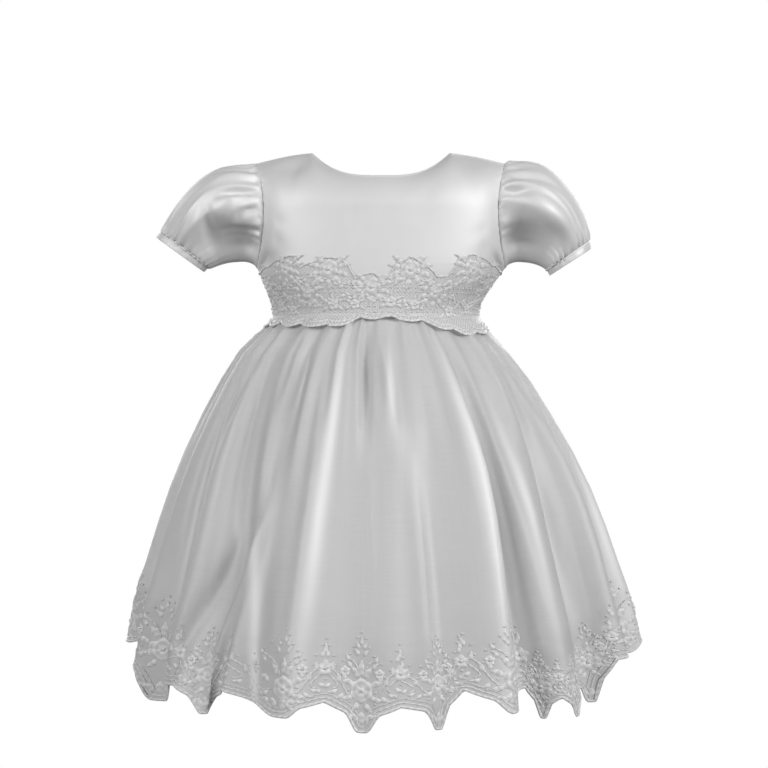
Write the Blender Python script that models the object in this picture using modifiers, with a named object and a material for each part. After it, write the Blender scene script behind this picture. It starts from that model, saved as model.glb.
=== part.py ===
"""Christening gown for an infant: satin bodice and puff sleeves, gathered two-layer skirt.

The gown is hollow and keeps the pose of a wearer who is not there. It is built as it is sewn:
panels, sleeves and skirt layers are separate walls of cloth, 0.3 mm apart at their seams.

+X is the wearer's left, -Y the front and +Z up. The origin lies midway between the shoulder
seams, at the height where the shoulders carry the gown. Sizes in the tables are millimetres, and
a drop is the distance below the neck point, the inner end of a shoulder seam.
"""

import math

import bpy
import numpy as np

MM = 0.001

# ---------------------------------------------------------------- driving dimensions, in mm
SEAM_GAP = 0.3
SEAM_HOLD = SEAM_GAP / 2.0 + 0.05  # how far an edge is held back from its seam, with a margin
BODICE_WALL = 1.2
SLEEVE_WALL = 1.2
SKIRT_WALL = 1.0
UNDERSKIRT_WALL = 1.0
CUFF_WALL = 1.4

SHOULDER_DROP = 8.5  # the shoulder seam falls this much from neck point to sleeve
NECK_HALF_WIDTH = 59.0
FRONT_NECK_DROP = 25.0
FRONT_NECK_DEPTH = 50.0
BACK_NECK_DROP = 16.0
BACK_NECK_DEPTH = 41.0
NECK_SHARE = 0.52  # the share of a half panel's columns that ends on the neckline
NECK_LEAN_DEG = 45.0  # how far the panel leans back over the chest at the neckline's middle
SHOULDER_LEAN_DEG = 90.0  # and at the shoulder seam

ARMHOLE_MID_DROP = 53.0
ARMHOLE_HALF_HEIGHT = 45.0
ARMHOLE_HALF_DEPTH = 37.0
ARMPIT_DROP = ARMHOLE_MID_DROP + ARMHOLE_HALF_HEIGHT
ARMHOLE_X = 97.0
ARMHOLE_X_SWING = 8.0  # the shoulder tip and the armpit stand out past the middle
ARMHOLE_TURN_DEG = 25.0  # how much less a section turns where it ends on the armhole
SHOULDER_TIP_X = ARMHOLE_X + ARMHOLE_X_SWING

CHEST_FLATNESS = 0.45  # how much flatter than an ellipse the chest and back are
CHEST_BLEND = 30.0  # and the height over which that begins above the waist
WAIST_DROP = 142.0
FRONT_FALL = 286.0  # from the waist to the notches of the hem, at the front and back
SIDE_FALL = 258.0
GATHERS = 34

LAP_HALF_WIDTH = 7.0  # the back edges overlap this far past the centre line
LAP_STEP = BODICE_WALL + SEAM_GAP + 0.15  # the upper back edge stands off the lower one
BUTTON_RADIUS = 4.5
BUTTON_HEIGHT = 2.6
BUTTON_DROPS = (26.0, 60.0, 94.0, 128.0)
BUTTON_STAND = LAP_STEP + SEAM_GAP + 0.1  # its flat side is a gap off the upper edge

# ---------------------------------------------------------------- tables, in mm
# Bodice from the waist up to the armpit.
BODICE_COLUMNS = ("drop", "half_width", "front_depth", "back_depth", "shift")
BODICE = np.array([
    (142.0, 87.0, 64.0, 64.0, -4.3),
    (133.0, 87.0, 64.5, 63.2, -4.3),
    (126.0, 88.6, 65.0, 62.3, -4.0),
    (119.0, 92.3, 65.5, 61.3, -3.3),
    (112.0, 96.3, 66.0, 60.5, -2.2),
    (105.0, 100.2, 66.3, 60.0, -1.0),
    (98.0, 105.0, 66.5, 59.8, 0.0),
    (53.0, 105.0, 63.5, 57.0, 0.0),
])

# Skirt overlay. Share of the fall from waist to hem, and the depth of gathers and folds there.
SKIRT_COLUMNS = ("share", "half_width", "half_depth", "gather", "fold", "shift")
SKIRT = np.array([
    (0.00, 87.2, 64.4, 0.7, 0.1, -4.3),
    (0.02, 91.5, 69.0, 1.8, 0.5, -4.8),
    (0.05, 99.5, 76.0, 2.1, 1.0, -5.5),
    (0.10, 112.5, 87.0, 1.7, 1.8, -5.6),
    (0.19, 128.0, 102.5, 1.1, 3.2, -3.9),
    (0.30, 144.0, 118.0, 0.5, 4.6, -2.5),
    (0.42, 159.0, 131.5, 0.2, 6.2, -1.3),
    (0.54, 171.5, 143.5, 0.0, 7.6, -0.2),
    (0.66, 181.5, 154.0, 0.0, 9.0, 0.6),
    (0.78, 190.5, 163.0, 0.0, 10.2, 1.2),
    (0.90, 200.5, 170.5, 0.0, 11.2, 1.6),
    (1.00, 206.5, 175.0, 0.0, 12.0, 2.0),
])

# Large folds round the hem: where each crest and the valley after it lie, and how far each goes.
# A drift is how many degrees further round the fold leaves the waist.
FOLD_COLUMNS = ("crest_deg", "crest", "crest_drift", "valley_deg", "valley", "valley_drift")
FOLDS = np.array([
    (-88.0, 0.9, 0.0, -78.0, 0.7, 0.0),
    (-70.0, 0.7, -2.0, -62.0, 0.9, -4.0),
    (-51.0, 0.8, -6.0, -40.0, 1.0, -4.0),
    (-18.0, 1.0, 9.0, -7.0, 0.2, 6.0),
    (1.0, 0.2, 5.0, 12.0, 0.6, 9.0),
    (25.5, 1.0, 2.0, 32.5, 1.0, 2.0),
    (42.0, 0.8, 8.0, 54.0, 1.0, 8.0),
    (63.0, 0.9, 6.0, 72.0, 0.8, 3.0),
    (81.0, 0.9, 0.0, 90.0, 0.6, 0.0),
    (99.0, 0.8, 0.0, 108.0, 0.9, -4.0),
    (118.0, 0.9, -5.0, 128.0, 0.8, -4.0),
    (137.0, 1.0, 3.0, 147.0, 1.0, 4.0),
    (156.0, 0.8, 3.0, 165.0, 0.6, 0.0),
    (174.0, 0.7, 0.0, 184.0, 0.8, 0.0),
    (194.0, 0.9, -4.0, 204.0, 1.0, -5.0),
    (214.0, 1.0, -3.0, 223.0, 0.7, 2.0),
    (233.0, 0.8, 5.0, 242.0, 0.9, 4.0),
    (252.0, 0.9, 3.0, 262.0, 0.8, 0.0),
])
DRIFT_END = 0.65  # the share of the fall by which the folds hang straight

# Scallops of the hem, a row for each: the notch where it starts and its tip.
HEM_COLUMNS = ("notch_deg", "notch_drop", "tip_deg", "tip_drop")
HEM = np.array([
    (-98.0, 402.0, -87.0, 413.0),
    (-76.0, 411.0, -64.5, 450.0),
    (-50.0, 428.0, -43.5, 449.0),
    (-36.5, 429.0, -20.0, 441.5),
    (-12.0, 430.0, -4.5, 453.0),
    (3.7, 434.0, 12.0, 452.5),
    (17.0, 423.0, 27.0, 440.0),
    (33.5, 427.0, 36.8, 450.0),
    (39.6, 434.0, 43.5, 449.5),
    (49.0, 436.0, 56.5, 447.0),
    (60.5, 414.0, 75.0, 417.5),
    (88.0, 402.0, 98.0, 417.0),
    (108.0, 406.0, 117.0, 425.0),
    (126.0, 415.0, 134.0, 434.0),
    (142.0, 424.0, 150.0, 443.0),
    (158.0, 428.0, 166.0, 448.0),
    (174.0, 430.0, 182.0, 449.0),
    (190.0, 429.0, 198.0, 447.0),
    (206.0, 426.0, 214.0, 442.0),
    (222.0, 418.0, 230.0, 435.0),
    (238.0, 410.0, 244.0, 426.0),
    (250.0, 404.0, 256.0, 417.0),
])

# Puff sleeve sections between armhole and cuff: upper and under point, half depth, gather depth.
SLEEVE_COLUMNS = ("top_x", "top_drop", "under_x", "under_drop", "half_depth", "gather")
SLEEVE = np.array([
    (105.0, 8.0, 105.0, 98.0, 37.0, 0.9),
    (112.0, 8.0, 108.5, 94.0, 41.5, 2.2),
    (123.0, 8.2, 115.0, 91.8, 45.0, 2.6),
    (137.0, 11.0, 123.0, 92.0, 46.0, 2.2),
    (151.0, 19.5, 130.0, 93.0, 44.0, 1.8),
    (164.0, 33.0, 136.5, 95.0, 39.5, 1.8),
    (174.0, 48.5, 141.0, 97.0, 33.0, 1.9),
    (180.0, 62.0, 143.5, 98.0, 27.0, 1.5),
    (181.6, 69.5, 144.3, 97.0, 23.6, 0.7),
])
# The two sleeves sit a little unevenly: extra reach past the armhole as a share, and how much
# lower the sleeve's head and the top of its cuff hang.
SLEEVE_SIDE_COLUMNS = ("side", "reach", "head_drop", "cuff_drop")
SLEEVE_SIDES = ((1, -0.06, -0.8, 5.0), (-1, 0.07, 2.4, -3.0))
SLEEVE_GATHERS = 10
SLEEVE_PINCH = 0.42  # how much narrower the puff is below, where it has no gathers
PINCH_FROM, PINCH_OVER = 0.45, 0.35  # from which share of its height down, and over how much
CUFF_END = (184.0, 74.7, 147.0, 101.4, 23.4, 0.0)  # the open end of the cuff, as a section

# Edges of the appliqued lace on the front bodice.
LACE_COLUMNS = ("angle_deg", "top_drop", "bottom_drop")
LACE_EDGES = np.array([
    (-88.0, 103.0, 147.0),
    (-66.0, 97.0, 146.5),
    (-54.0, 91.0, 147.0),
    (-47.0, 91.0, 147.5),
    (-41.0, 101.0, 148.0),
    (-32.0, 94.0, 148.5),
    (-22.0, 92.5, 149.5),
    (-15.5, 99.0, 147.0),
    (-11.0, 109.0, 144.5),
    (-3.0, 105.5, 142.5),
    (4.0, 110.0, 142.0),
    (8.5, 96.5, 142.5),
    (15.0, 92.5, 143.5),
    (23.0, 99.5, 145.0),
    (29.0, 109.0, 147.5),
    (35.0, 106.0, 150.5),
    (42.0, 93.0, 153.5),
    (55.0, 89.0, 155.0),
    (66.0, 96.0, 153.0),
    (88.0, 103.0, 148.0),
])
LACE_SCALLOP = 3.0
LACE_SCALLOPS = 22
LACE_FELT = 0.5
LACE_RAISED = 1.3
# Raised flowers of the lace.
FLOWER_COLUMNS = ("angle_deg", "drop", "radius")
FLOWERS = np.array([
    (-74.0, 117.0, 9.0),
    (-51.0, 101.0, 9.0),
    (-38.0, 121.0, 8.5),
    (-25.0, 102.5, 9.5),
    (-3.0, 117.0, 9.0),
    (14.5, 103.0, 9.5),
    (31.0, 121.0, 8.5),
    (50.0, 101.5, 10.0),
    (72.0, 115.0, 9.0),
])
PETALS = 5


# ---------------------------------------------------------------- small tools
def column(table, names, name):
    """One named column of a table."""
    return table[:, names.index(name)]


def smooth(x):
    """0 below 0, 1 above 1, and an even S between."""
    x = np.clip(x, 0.0, 1.0)
    return x * x * (3.0 - 2.0 * x)


def placed(x, y, drop):
    """Points in metres in the gown's frame, from millimetres and a drop below the neck point."""
    x, y, drop = np.broadcast_arrays(x, y, drop)
    return np.stack([x, y, SHOULDER_DROP / 2.0 - drop], axis=-1) * MM


def outward(surface, a, b, step_a, step_b):
    """Unit normal of a surface where a runs anticlockwise and b runs up, by small steps."""
    along = placed(*surface(a + step_a, b)) - placed(*surface(a - step_a, b))
    up = placed(*surface(a, b + step_b)) - placed(*surface(a, b - step_b))
    n = np.cross(along, up)
    return n / np.maximum(np.linalg.norm(n, axis=-1, keepdims=True), 1e-12)


def material(name, value, roughness, sheen=0.0):
    """A neutral white cloth of the given linear brightness."""
    made = bpy.data.materials.new(name)
    made.use_nodes = True
    shader = made.node_tree.nodes["Principled BSDF"]
    shader.inputs["Base Color"].default_value = (value, value, value, 1.0)
    shader.inputs["Roughness"].default_value = roughness
    shader.inputs["Metallic"].default_value = 0.0
    shader.inputs["Sheen Weight"].default_value = sheen
    return made


def keep(piece, finish):
    """Gives a finished piece its material and puts it in the gown's collection."""
    piece.data.materials.append(finish)
    gown.objects.link(piece)


def cloth(name, outer, inner, finish, closed=False):
    """A wall of cloth between two grids of points in metres.

    Columns run anticlockwise seen from above and rows rise, so the outer grid's faces point out.
    The inner grid is joined to it round the open edges.
    """
    rows, columns = outer.shape[:2]
    index = np.arange(rows * columns).reshape(rows, columns)
    if closed:
        index = np.column_stack([index, index[:, :1]])
    back = index + rows * columns
    faces = [(index[:-1, :-1], index[:-1, 1:], index[1:, 1:], index[1:, :-1]),
             (back[:-1, :-1], back[1:, :-1], back[1:, 1:], back[:-1, 1:]),
             (index[0, 1:], index[0, :-1], back[0, :-1], back[0, 1:]),
             (index[-1, :-1], index[-1, 1:], back[-1, 1:], back[-1, :-1])]
    if not closed:
        faces += [(index[:-1, 0], index[1:, 0], back[1:, 0], back[:-1, 0]),
                  (index[1:, -1], index[:-1, -1], back[:-1, -1], back[1:, -1])]
    quads = np.concatenate([np.stack(corners, axis=-1).reshape(-1, 4) for corners in faces])
    points = np.concatenate([outer.reshape(-1, 3), inner.reshape(-1, 3)])
    mesh = bpy.data.meshes.new(name)
    mesh.from_pydata(points.tolist(), [], quads.tolist())
    mesh.shade_smooth()
    keep(bpy.data.objects.new(name, mesh), finish)


# ---------------------------------------------------------------- bodice
def torso(u, drop, depth_name):
    """Half of the bodice below the middle of the armhole: x and depth from the centre plane.

    u runs from 0 at the centre line to 1 at the side seam or armhole. Each row is an arc of an
    ellipse, flattened over the chest. Above the armpit it ends on the armhole instead of at the
    side seam.
    """
    table_drop = column(BODICE, BODICE_COLUMNS, "drop")[::-1]
    centre_depth = np.interp(drop, table_drop, column(BODICE, BODICE_COLUMNS, depth_name)[::-1])
    side = np.interp(drop, table_drop, column(BODICE, BODICE_COLUMNS, "half_width")[::-1])
    rise = np.clip((drop - ARMHOLE_MID_DROP) / ARMHOLE_HALF_HEIGHT, 0.0, 1.0)
    opened = np.sqrt(1.0 - rise**2)
    side = np.where(drop < ARMPIT_DROP, ARMHOLE_X + ARMHOLE_X_SWING * rise**2, side)
    edge_depth = ARMHOLE_HALF_DEPTH * opened
    end = np.radians(90.0 - ARMHOLE_TURN_DEG * opened)
    shift = np.interp(drop, table_drop, column(BODICE, BODICE_COLUMNS, "shift")[::-1])
    x = shift + side * np.sin(u * end) / np.sin(end)
    bow = (np.cos(u * end) - np.cos(end)) / (1.0 - np.cos(end))
    bow = bow + CHEST_FLATNESS * smooth((WAIST_DROP - drop) / CHEST_BLEND) * bow * (1.0 - bow)
    return x, edge_depth + (centre_depth - edge_depth) * bow


def top_edge(u, neck_drop, neck_depth):
    """The neckline and shoulder seam: x, depth from the centre plane, and drop."""
    turn = np.clip(np.abs(u) / NECK_SHARE, 0.0, 1.0) * math.pi / 2.0
    along = np.clip((np.abs(u) - NECK_SHARE) / (1.0 - NECK_SHARE), 0.0, 1.0)
    x = NECK_HALF_WIDTH * np.sin(turn) + (SHOULDER_TIP_X - NECK_HALF_WIDTH) * along
    depth = neck_depth * np.cos(turn)
    drop = neck_drop * (1.0 - np.sin(turn) ** 3) + SHOULDER_DROP * along**1.4
    return np.sign(u) * x, depth, drop


def bodice_surface(u, level, front):
    """The bodice's outer side. level is 0 at the waist, 1 at mid armhole and 2 at the top edge.

    Above mid armhole each column is part of an ellipse, upright below and leaning back over the
    shoulder, up to the neckline or the shoulder seam. The front lies at -y and the back at +y.
    """
    depth_name = "front_depth" if front else "back_depth"
    neck_drop = FRONT_NECK_DROP if front else BACK_NECK_DROP
    neck_depth = FRONT_NECK_DEPTH if front else BACK_NECK_DEPTH
    drop = WAIST_DROP + (ARMHOLE_MID_DROP - WAIST_DROP) * np.minimum(level, 1.0)
    x, depth = torso(u, drop, depth_name)
    top_x, top_depth, top_drop = top_edge(u, neck_drop, neck_depth)
    lean_share = np.clip(np.abs(u) / NECK_SHARE, 0.0, 1.0)
    lean = np.radians(NECK_LEAN_DEG + (SHOULDER_LEAN_DEG - NECK_LEAN_DEG) * lean_share**2)
    turn = np.maximum(level - 1.0, 0.0) * lean
    x = x + (top_x - x) * (np.sin(turn) / np.sin(lean)) ** 2
    depth = depth + (top_depth - depth) * (1.0 - np.cos(turn)) / (1.0 - np.cos(lean))
    drop = drop + (top_drop - drop) * np.sin(turn) / np.sin(lean)
    return x, (-depth if front else depth), drop


def bodice_levels():
    """Rows of a bodice panel: the table's sections, then the armhole's lower and upper quarter."""
    sections = column(BODICE, BODICE_COLUMNS, "drop")[:-1]
    quarter = np.radians(np.array([22.5, 45.0, 67.5, 90.0]))
    scoop = ARMHOLE_MID_DROP + ARMHOLE_HALF_HEIGHT * np.cos(quarter)
    drops = np.concatenate([sections, scoop])
    lower = (WAIST_DROP - drops) / (WAIST_DROP - ARMHOLE_MID_DROP)
    return np.concatenate([lower, 1.0 + np.array([0.25, 0.5, 0.75, 1.0])])


def half_columns():
    """Column positions of a half panel, with one on the neck point."""
    neck = np.linspace(0.0, NECK_SHARE, 6)
    shoulder = np.linspace(NECK_SHARE, 1.0, 7)[1:]
    return np.concatenate([neck, shoulder])


def bodice_panel(name, u, front, stand=0.0):
    """A panel over the columns u, held back from the side and shoulder seams in the plane y = 0."""
    def surface(u, level):
        return bodice_surface(u, level, front)

    levels = bodice_levels()[:, None]
    side = 1.0 if front else -1.0
    out = outward(surface, u, levels, 0.01 * side, 0.01)
    outer = placed(*surface(u, levels)) + out * np.asarray(stand)[..., None] * MM
    inner = outer - out * BODICE_WALL * MM
    for points in (outer, inner):
        points[..., 1] = side * np.minimum(side * points[..., 1], -SEAM_HOLD * MM)
    cloth(name, outer, inner, satin)


def bodice():
    """A front cut on the fold, and two backs that button together down the centre back.

    The backs run past the centre line. The right one laps over the left one: it steps out by a
    wall and a gap near the centre.
    """
    half = half_columns()
    bodice_panel("bodice_front", np.concatenate([-half[:0:-1], half])[None, :], front=True)
    lap = LAP_HALF_WIDTH / NECK_HALF_WIDTH * NECK_SHARE * 2.0 / math.pi
    u = np.concatenate([[-lap, 0.0, 1.3 * lap, 2.2 * lap], half[2:]])
    bodice_panel("bodice_back_left", u[None, ::-1], front=False)
    stand = LAP_STEP * smooth(2.4 - u / lap) * np.ones((len(bodice_levels()), 1))
    bodice_panel("bodice_back_right", -u[None, :], front=False, stand=stand)


def buttons():
    """Domed buttons in a row down the lapped back edge, a gap off the cloth."""
    def surface(u, level):
        return bodice_surface(u, level, front=False)

    for number, drop in enumerate(BUTTON_DROPS, start=1):
        level = (WAIST_DROP - drop) / (WAIST_DROP - ARMHOLE_MID_DROP)
        if drop < ARMHOLE_MID_DROP:
            rise = (ARMHOLE_MID_DROP - drop) / (ARMHOLE_MID_DROP - BACK_NECK_DROP)
            lean = math.radians(NECK_LEAN_DEG)
            level = 1.0 + math.asin(rise * math.sin(lean)) / lean
        out = outward(surface, 0.0, level, -0.01, 0.01)
        seat = placed(*surface(0.0, level)) + out * BUTTON_STAND * MM
        add_button(f"button_{number}", seat, out)


def add_button(name, seat, out):
    """One domed button, turned from its profile, its flat side on the seat."""
    profile = [(BUTTON_RADIUS * math.cos(a), BUTTON_HEIGHT * (0.35 + 0.65 * math.sin(a)))
               for a in np.radians(np.linspace(90.0, 0.0, 5))]
    profile += [(BUTTON_RADIUS * 0.93, 0.0), (0.0, 0.0)]
    profile[0] = (0.0, BUTTON_HEIGHT)
    mesh = bpy.data.meshes.new(name)
    edges = [(i, i + 1) for i in range(len(profile) - 1)]
    mesh.from_pydata([(r * MM, 0.0, h * MM) for r, h in profile], edges, [])
    piece = bpy.data.objects.new(name, mesh)
    keep(piece, pearl)
    turned = piece.modifiers.new("turned", "SCREW")
    turned.steps = 12
    turned.render_steps = 12
    turned.use_merge_vertices = True
    turned.merge_threshold = 0.00001
    lean = math.atan2(out[2], out[1])
    piece.rotation_euler = (lean - math.pi / 2.0, 0.0, 0.0)
    piece.location = seat.tolist()


# ---------------------------------------------------------------- sleeves
def sleeve_point(angle, row, side_row):
    """A point of a sleeve by angle round the ring, from the shoulder tip, and row of the table.

    A ring is an oval between its upper and under points that swells by the gathers and is pinched
    below. The first rings take the armhole's inset, and each is fitted to the sleeve's side.
    """
    side, reach, head_drop, cuff_drop = side_row
    top_x, top_drop, under_x, under_drop, half_depth, gather = (
        np.interp(row, np.arange(len(SLEEVE) + 1), np.append(SLEEVE[:, i], CUFF_END[i]))
        for i in range(6)
    )
    upper = (1.0 + np.cos(angle)) / 2.0
    pinch = smooth((1.0 - upper - PINCH_FROM) / PINCH_OVER) * smooth(row / 2.0)
    half_depth = half_depth * (1.0 - SLEEVE_PINCH * pinch * smooth((len(SLEEVE) - 1.5 - row) / 3.0))
    head = smooth(1.0 - row / 4.0)
    swell = gather * np.cos(SLEEVE_GATHERS * angle) * (head * upper**0.7 + 1.0 - head)
    long_x, long_drop = (top_x - under_x) / 2.0, (top_drop - under_drop) / 2.0
    grown = 2.0 * upper + swell * np.cos(angle) / np.hypot(long_x, long_drop)
    x = under_x + long_x * grown
    x = x - ARMHOLE_X_SWING * np.sin(angle) ** 2 * np.clip(1.0 - row / 2.0, 0.0, 1.0)
    drop = under_drop + long_drop * grown
    along = row / (len(SLEEVE) - 1.0)
    x = x + np.maximum(x - SHOULDER_TIP_X, 0.0) * reach * along**2 + 2.0 * SEAM_GAP
    drop = drop + cuff_drop * along**2 * (0.3 + 0.7 * upper)
    drop = drop + head_drop * upper * np.sin(np.minimum(along, 1.0) * math.pi) ** 0.5
    return side * x, side * (half_depth + swell) * np.sin(angle), drop


def sleeve_wall(name, side_row, columns, rows, wall):
    """A ring-shaped wall over rows of the sleeve's table, rising from the cuff to the armhole."""
    def surface(angle, row):
        return sleeve_point(angle, -row, side_row)

    angle = np.radians(np.arange(columns) * 360.0 / columns)[None, :]
    row = -np.asarray(rows)[::-1, None]
    outer = placed(*surface(angle, row))
    out = outward(surface, angle, np.clip(row, -len(SLEEVE) + 0.05, -0.05), 0.02, 0.04)
    cloth(name, outer, outer - out * wall * MM, satin, closed=True)


def sleeves():
    """Puff sleeves gathered into the armhole and into a narrow cuff, parted from it by a gap."""
    edge = len(SLEEVE) - 1
    for side_row in SLEEVE_SIDES:
        side = "left" if side_row[0] > 0 else "right"
        sleeve_wall("sleeve_" + side, side_row, 36, np.arange(edge + 1.0), SLEEVE_WALL)
        sleeve_wall("cuff_" + side, side_row, 24, (edge + 0.12, edge + 1.0), CUFF_WALL)


# ---------------------------------------------------------------- skirt
def fold_wave(theta, share):
    """The large folds as a wave from -1 to 1: cosine steps from crest to valley to crest.

    Towards the waist each fold lies further round by its drift.
    """
    angles = FOLDS[:, [0, 3]].ravel()
    heights = (FOLDS[:, [1, 4]] * np.array([1.0, -1.0])).ravel()
    drifts = FOLDS[:, [2, 5]].ravel()
    angles = np.append(angles, angles[0] + 360.0)
    heights = np.append(heights, heights[0])
    drifts = np.append(drifts, drifts[0])
    around = (np.degrees(theta) - angles[0]) % 360.0 + angles[0]
    around = around - np.interp(around, angles, drifts) * (1.0 - smooth(share / DRIFT_END))
    around = (around - angles[0]) % 360.0 + angles[0]
    i = np.clip(np.searchsorted(angles, around, side="right") - 1, 0, len(angles) - 2)
    step = (around - angles[i]) / (angles[i + 1] - angles[i])
    return heights[i] + (heights[i + 1] - heights[i]) * (1.0 - np.cos(math.pi * step)) / 2.0


def notch_fall(theta):
    """The length from the waist to the notches of the hem: shorter at the sides."""
    return FRONT_FALL + (SIDE_FALL - FRONT_FALL) * np.abs(np.sin(theta)) ** 7


def hem_drop(theta):
    """The scalloped edge: shallow arches between the notches, each with a round lobe at its tip."""
    notch_deg, notch_drop, tip_deg, tip_drop = HEM.T
    starts = np.append(notch_deg, notch_deg[0] + 360.0)
    bases = np.append(notch_drop, notch_drop[0])
    around = (np.degrees(theta) - starts[0]) % 360.0 + starts[0]
    i = np.clip(np.searchsorted(starts, around, side="right") - 1, 0, len(HEM) - 1)
    base = bases[i] + (bases[i + 1] - bases[i]) * (around - starts[i]) / (starts[i + 1] - starts[i])
    before = (around - starts[i]) / (tip_deg[i] - starts[i])
    after = (starts[i + 1] - around) / (starts[i + 1] - tip_deg[i])
    near = np.minimum(before, after)
    rounded = 0.45 * np.sin(near * math.pi / 2.0) + 0.55 * smooth((near - 0.5) / 0.38)
    return base + (tip_drop[i] - base) * rounded


def hem_columns(start_deg, end_deg):
    """Column angles between two seams that keep to the notches, shoulders and tips of the hem."""
    angles = []
    for i, (notch, _, tip, _) in enumerate(HEM):
        after = HEM[i + 1, 0] if i + 1 < len(HEM) else HEM[0, 0] + 360.0
        wide = after - notch
        shoulders = (0.3, 0.56, 0.8) if wide > 19.0 else (0.53, 0.8) if wide > 12.0 else (0.6,)
        angles += [notch] + [notch + (tip - notch) * k for k in shoulders]
        angles += [tip] + [after + (tip - after) * k for k in shoulders[::-1]]
    angles = np.array(angles + [a + 360.0 for a in angles])
    between = (angles > start_deg + 1.2) & (angles < end_deg - 1.2)
    return np.concatenate([[start_deg], np.sort(angles[between]), [end_deg]])


def skirt_section(share):
    """The skirt table's values at a share of the fall."""
    at = column(SKIRT, SKIRT_COLUMNS, "share")
    return (np.interp(share, at, column(SKIRT, SKIRT_COLUMNS, name)) for name in SKIRT_COLUMNS[1:])


def skirt_surface(theta, share):
    """The overlay's outer side at an angle from the front centre and a share of the fall.

    An oval that widens by the table, with the gathers and the folds standing out from it.
    """
    width, depth, gather, fold, shift = skirt_section(share)
    out = fold * fold_wave(theta, share) - gather * np.cos(GATHERS * theta)
    drop = WAIST_DROP + SEAM_GAP + notch_fall(theta) * share
    lobe = hem_drop(theta) - WAIST_DROP - SEAM_GAP - notch_fall(theta)
    drop = drop + lobe * smooth((share - 0.84) / 0.16)
    return shift + (width + out) * np.sin(theta), -(depth + out) * np.cos(theta), drop


def skirt_wall(name, surface, angles, shares, wall, finish):
    """A panel of a skirt layer over column angles in degrees, with rows from the hem to the waist.

    The end columns are held back from the seams by half the seam gap.
    """
    def rising(theta, share):
        return surface(theta, -share)

    theta = np.radians(angles * np.ones_like(shares))
    clear = SEAM_HOLD / np.interp(shares[:, 0], SKIRT[:, 0], SKIRT[:, 2])
    theta[:, 0] += clear
    theta[:, -1] -= clear
    outer = placed(*surface(theta, shares))
    out = outward(rising, theta, -np.clip(shares, 0.01, 0.99), 0.012, 0.01)
    cloth(name, outer, outer - out * wall * MM, finish)


def skirt_overlay():
    """Sheer overlay with the scalloped hem: a front panel and two backs with a centre seam.

    Columns are even at the gathers and drift down to the notches and tips of the hem.
    """
    shares = column(SKIRT, SKIRT_COLUMNS, "share")[::-1, None]
    panels = (("skirt_front", -90.0, 90.0), ("skirt_back_left", 90.0, 180.0),
              ("skirt_back_right", 180.0, 270.0))
    for name, start, end in panels:
        at_hem = hem_columns(start, end)
        even = np.linspace(start, end, len(at_hem))
        angles = even + (at_hem - even) * smooth(shares)
        skirt_wall(name, skirt_surface, angles, shares, SKIRT_WALL, organza)


def underskirt_surface(theta, share):
    """The satin layer inside the overlay: shallower folds, clear of the overlay's valleys."""
    width, depth, gather, fold, shift = skirt_section(share)
    clear = SKIRT_WALL + 0.5 + smooth(share / 0.04) + 3.0 * smooth(share / 0.3)
    out = 0.5 * fold * fold_wave(theta, share) - gather - 0.55 * fold - clear
    drop = WAIST_DROP + SEAM_GAP + notch_fall(theta) * share
    return shift + (width + out) * np.sin(theta), -(depth + out) * np.cos(theta), drop


def underskirt():
    """Satin underskirt, a front and a back panel, which shows through the overlay."""
    shares = np.array([0.95, 0.75, 0.5, 0.3, 0.15, 0.05, 0.02, 0.0])[:, None]
    for name, start, end in (("underskirt_front", -90.0, 90.0), ("underskirt_back", 90.0, 270.0)):
        angles = np.linspace(start, end, 31)
        skirt_wall(name, underskirt_surface, angles, shares, UNDERSKIRT_WALL, satin)


# ---------------------------------------------------------------- applique
def lace_ground(theta, drop):
    """The surface that the lace lies on: the bodice, then the crests of the skirt's gathers."""
    x, depth = torso(theta / (math.pi / 2.0), drop, "front_depth")
    share = np.maximum(drop - WAIST_DROP - SEAM_GAP, 0.0) / FRONT_FALL
    width, skirt_depth, gather, _, shift = skirt_section(share)
    over = smooth((drop - WAIST_DROP + 4.0) / 4.0)
    x = x + (shift + (width + gather + 1.3) * np.sin(theta) - x) * over
    depth = depth + ((skirt_depth + gather + 1.3) * np.cos(theta) - depth) * over
    return x, -depth, drop


def flower_relief(theta, drop):
    """How far the lace is raised, from 0 to 1: five-petalled flowers with a button centre."""
    relief = np.zeros(np.broadcast(theta, drop).shape)
    for angle, middle, radius in FLOWERS:
        across = (theta - math.radians(angle)) * 80.0
        up = drop - middle
        distance = np.hypot(across, up)
        petal = radius * (0.78 + 0.22 * np.cos(PETALS * np.arctan2(up, across)))
        relief = np.maximum(relief, smooth((petal - distance) / (0.45 * radius)))
    return relief


def bodice_lace():
    """Lace sewn on the front bodice above the waist seam, its scalloped edge over the gathers."""
    theta = np.radians(np.linspace(-87.0, 87.0, 67))[None, :]
    top, bottom = (np.interp(np.degrees(theta), LACE_EDGES[:, 0], LACE_EDGES[:, i]) for i in (1, 2))
    bottom = bottom + LACE_SCALLOP * (np.abs(np.cos(LACE_SCALLOPS / 2.0 * theta)) - 0.5)
    steps = np.array([0.0, 0.1, 0.25, 0.43, 0.6, 0.77, 0.89, 1.0])[:, None]
    drop = bottom + (top - bottom) * steps
    out = outward(lambda a, b: lace_ground(a, -b), theta, -drop, 0.02, 1.0)
    stand = SEAM_GAP + 1.05 * smooth((ARMPIT_DROP + 4.0 - drop) / 4.0)
    inner = placed(*lace_ground(theta, drop)) + out * stand[..., None] * MM
    wall = LACE_FELT + (LACE_RAISED - LACE_FELT) * flower_relief(theta, drop)
    cloth("bodice_lace", inner + out * wall[..., None] * MM, inner, lace)


# ---------------------------------------------------------------- the gown
for old in list(bpy.data.objects):
    bpy.data.objects.remove(old)

gown = bpy.data.collections.new("christening_gown")
bpy.context.scene.collection.children.link(gown)

satin = material("white_satin", 0.74, 0.38)
organza = material("white_organza", 0.70, 0.6, sheen=0.3)
lace = material("embroidered_lace", 0.66, 0.7)
pearl = material("pearl_button", 0.80, 0.25)

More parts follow.
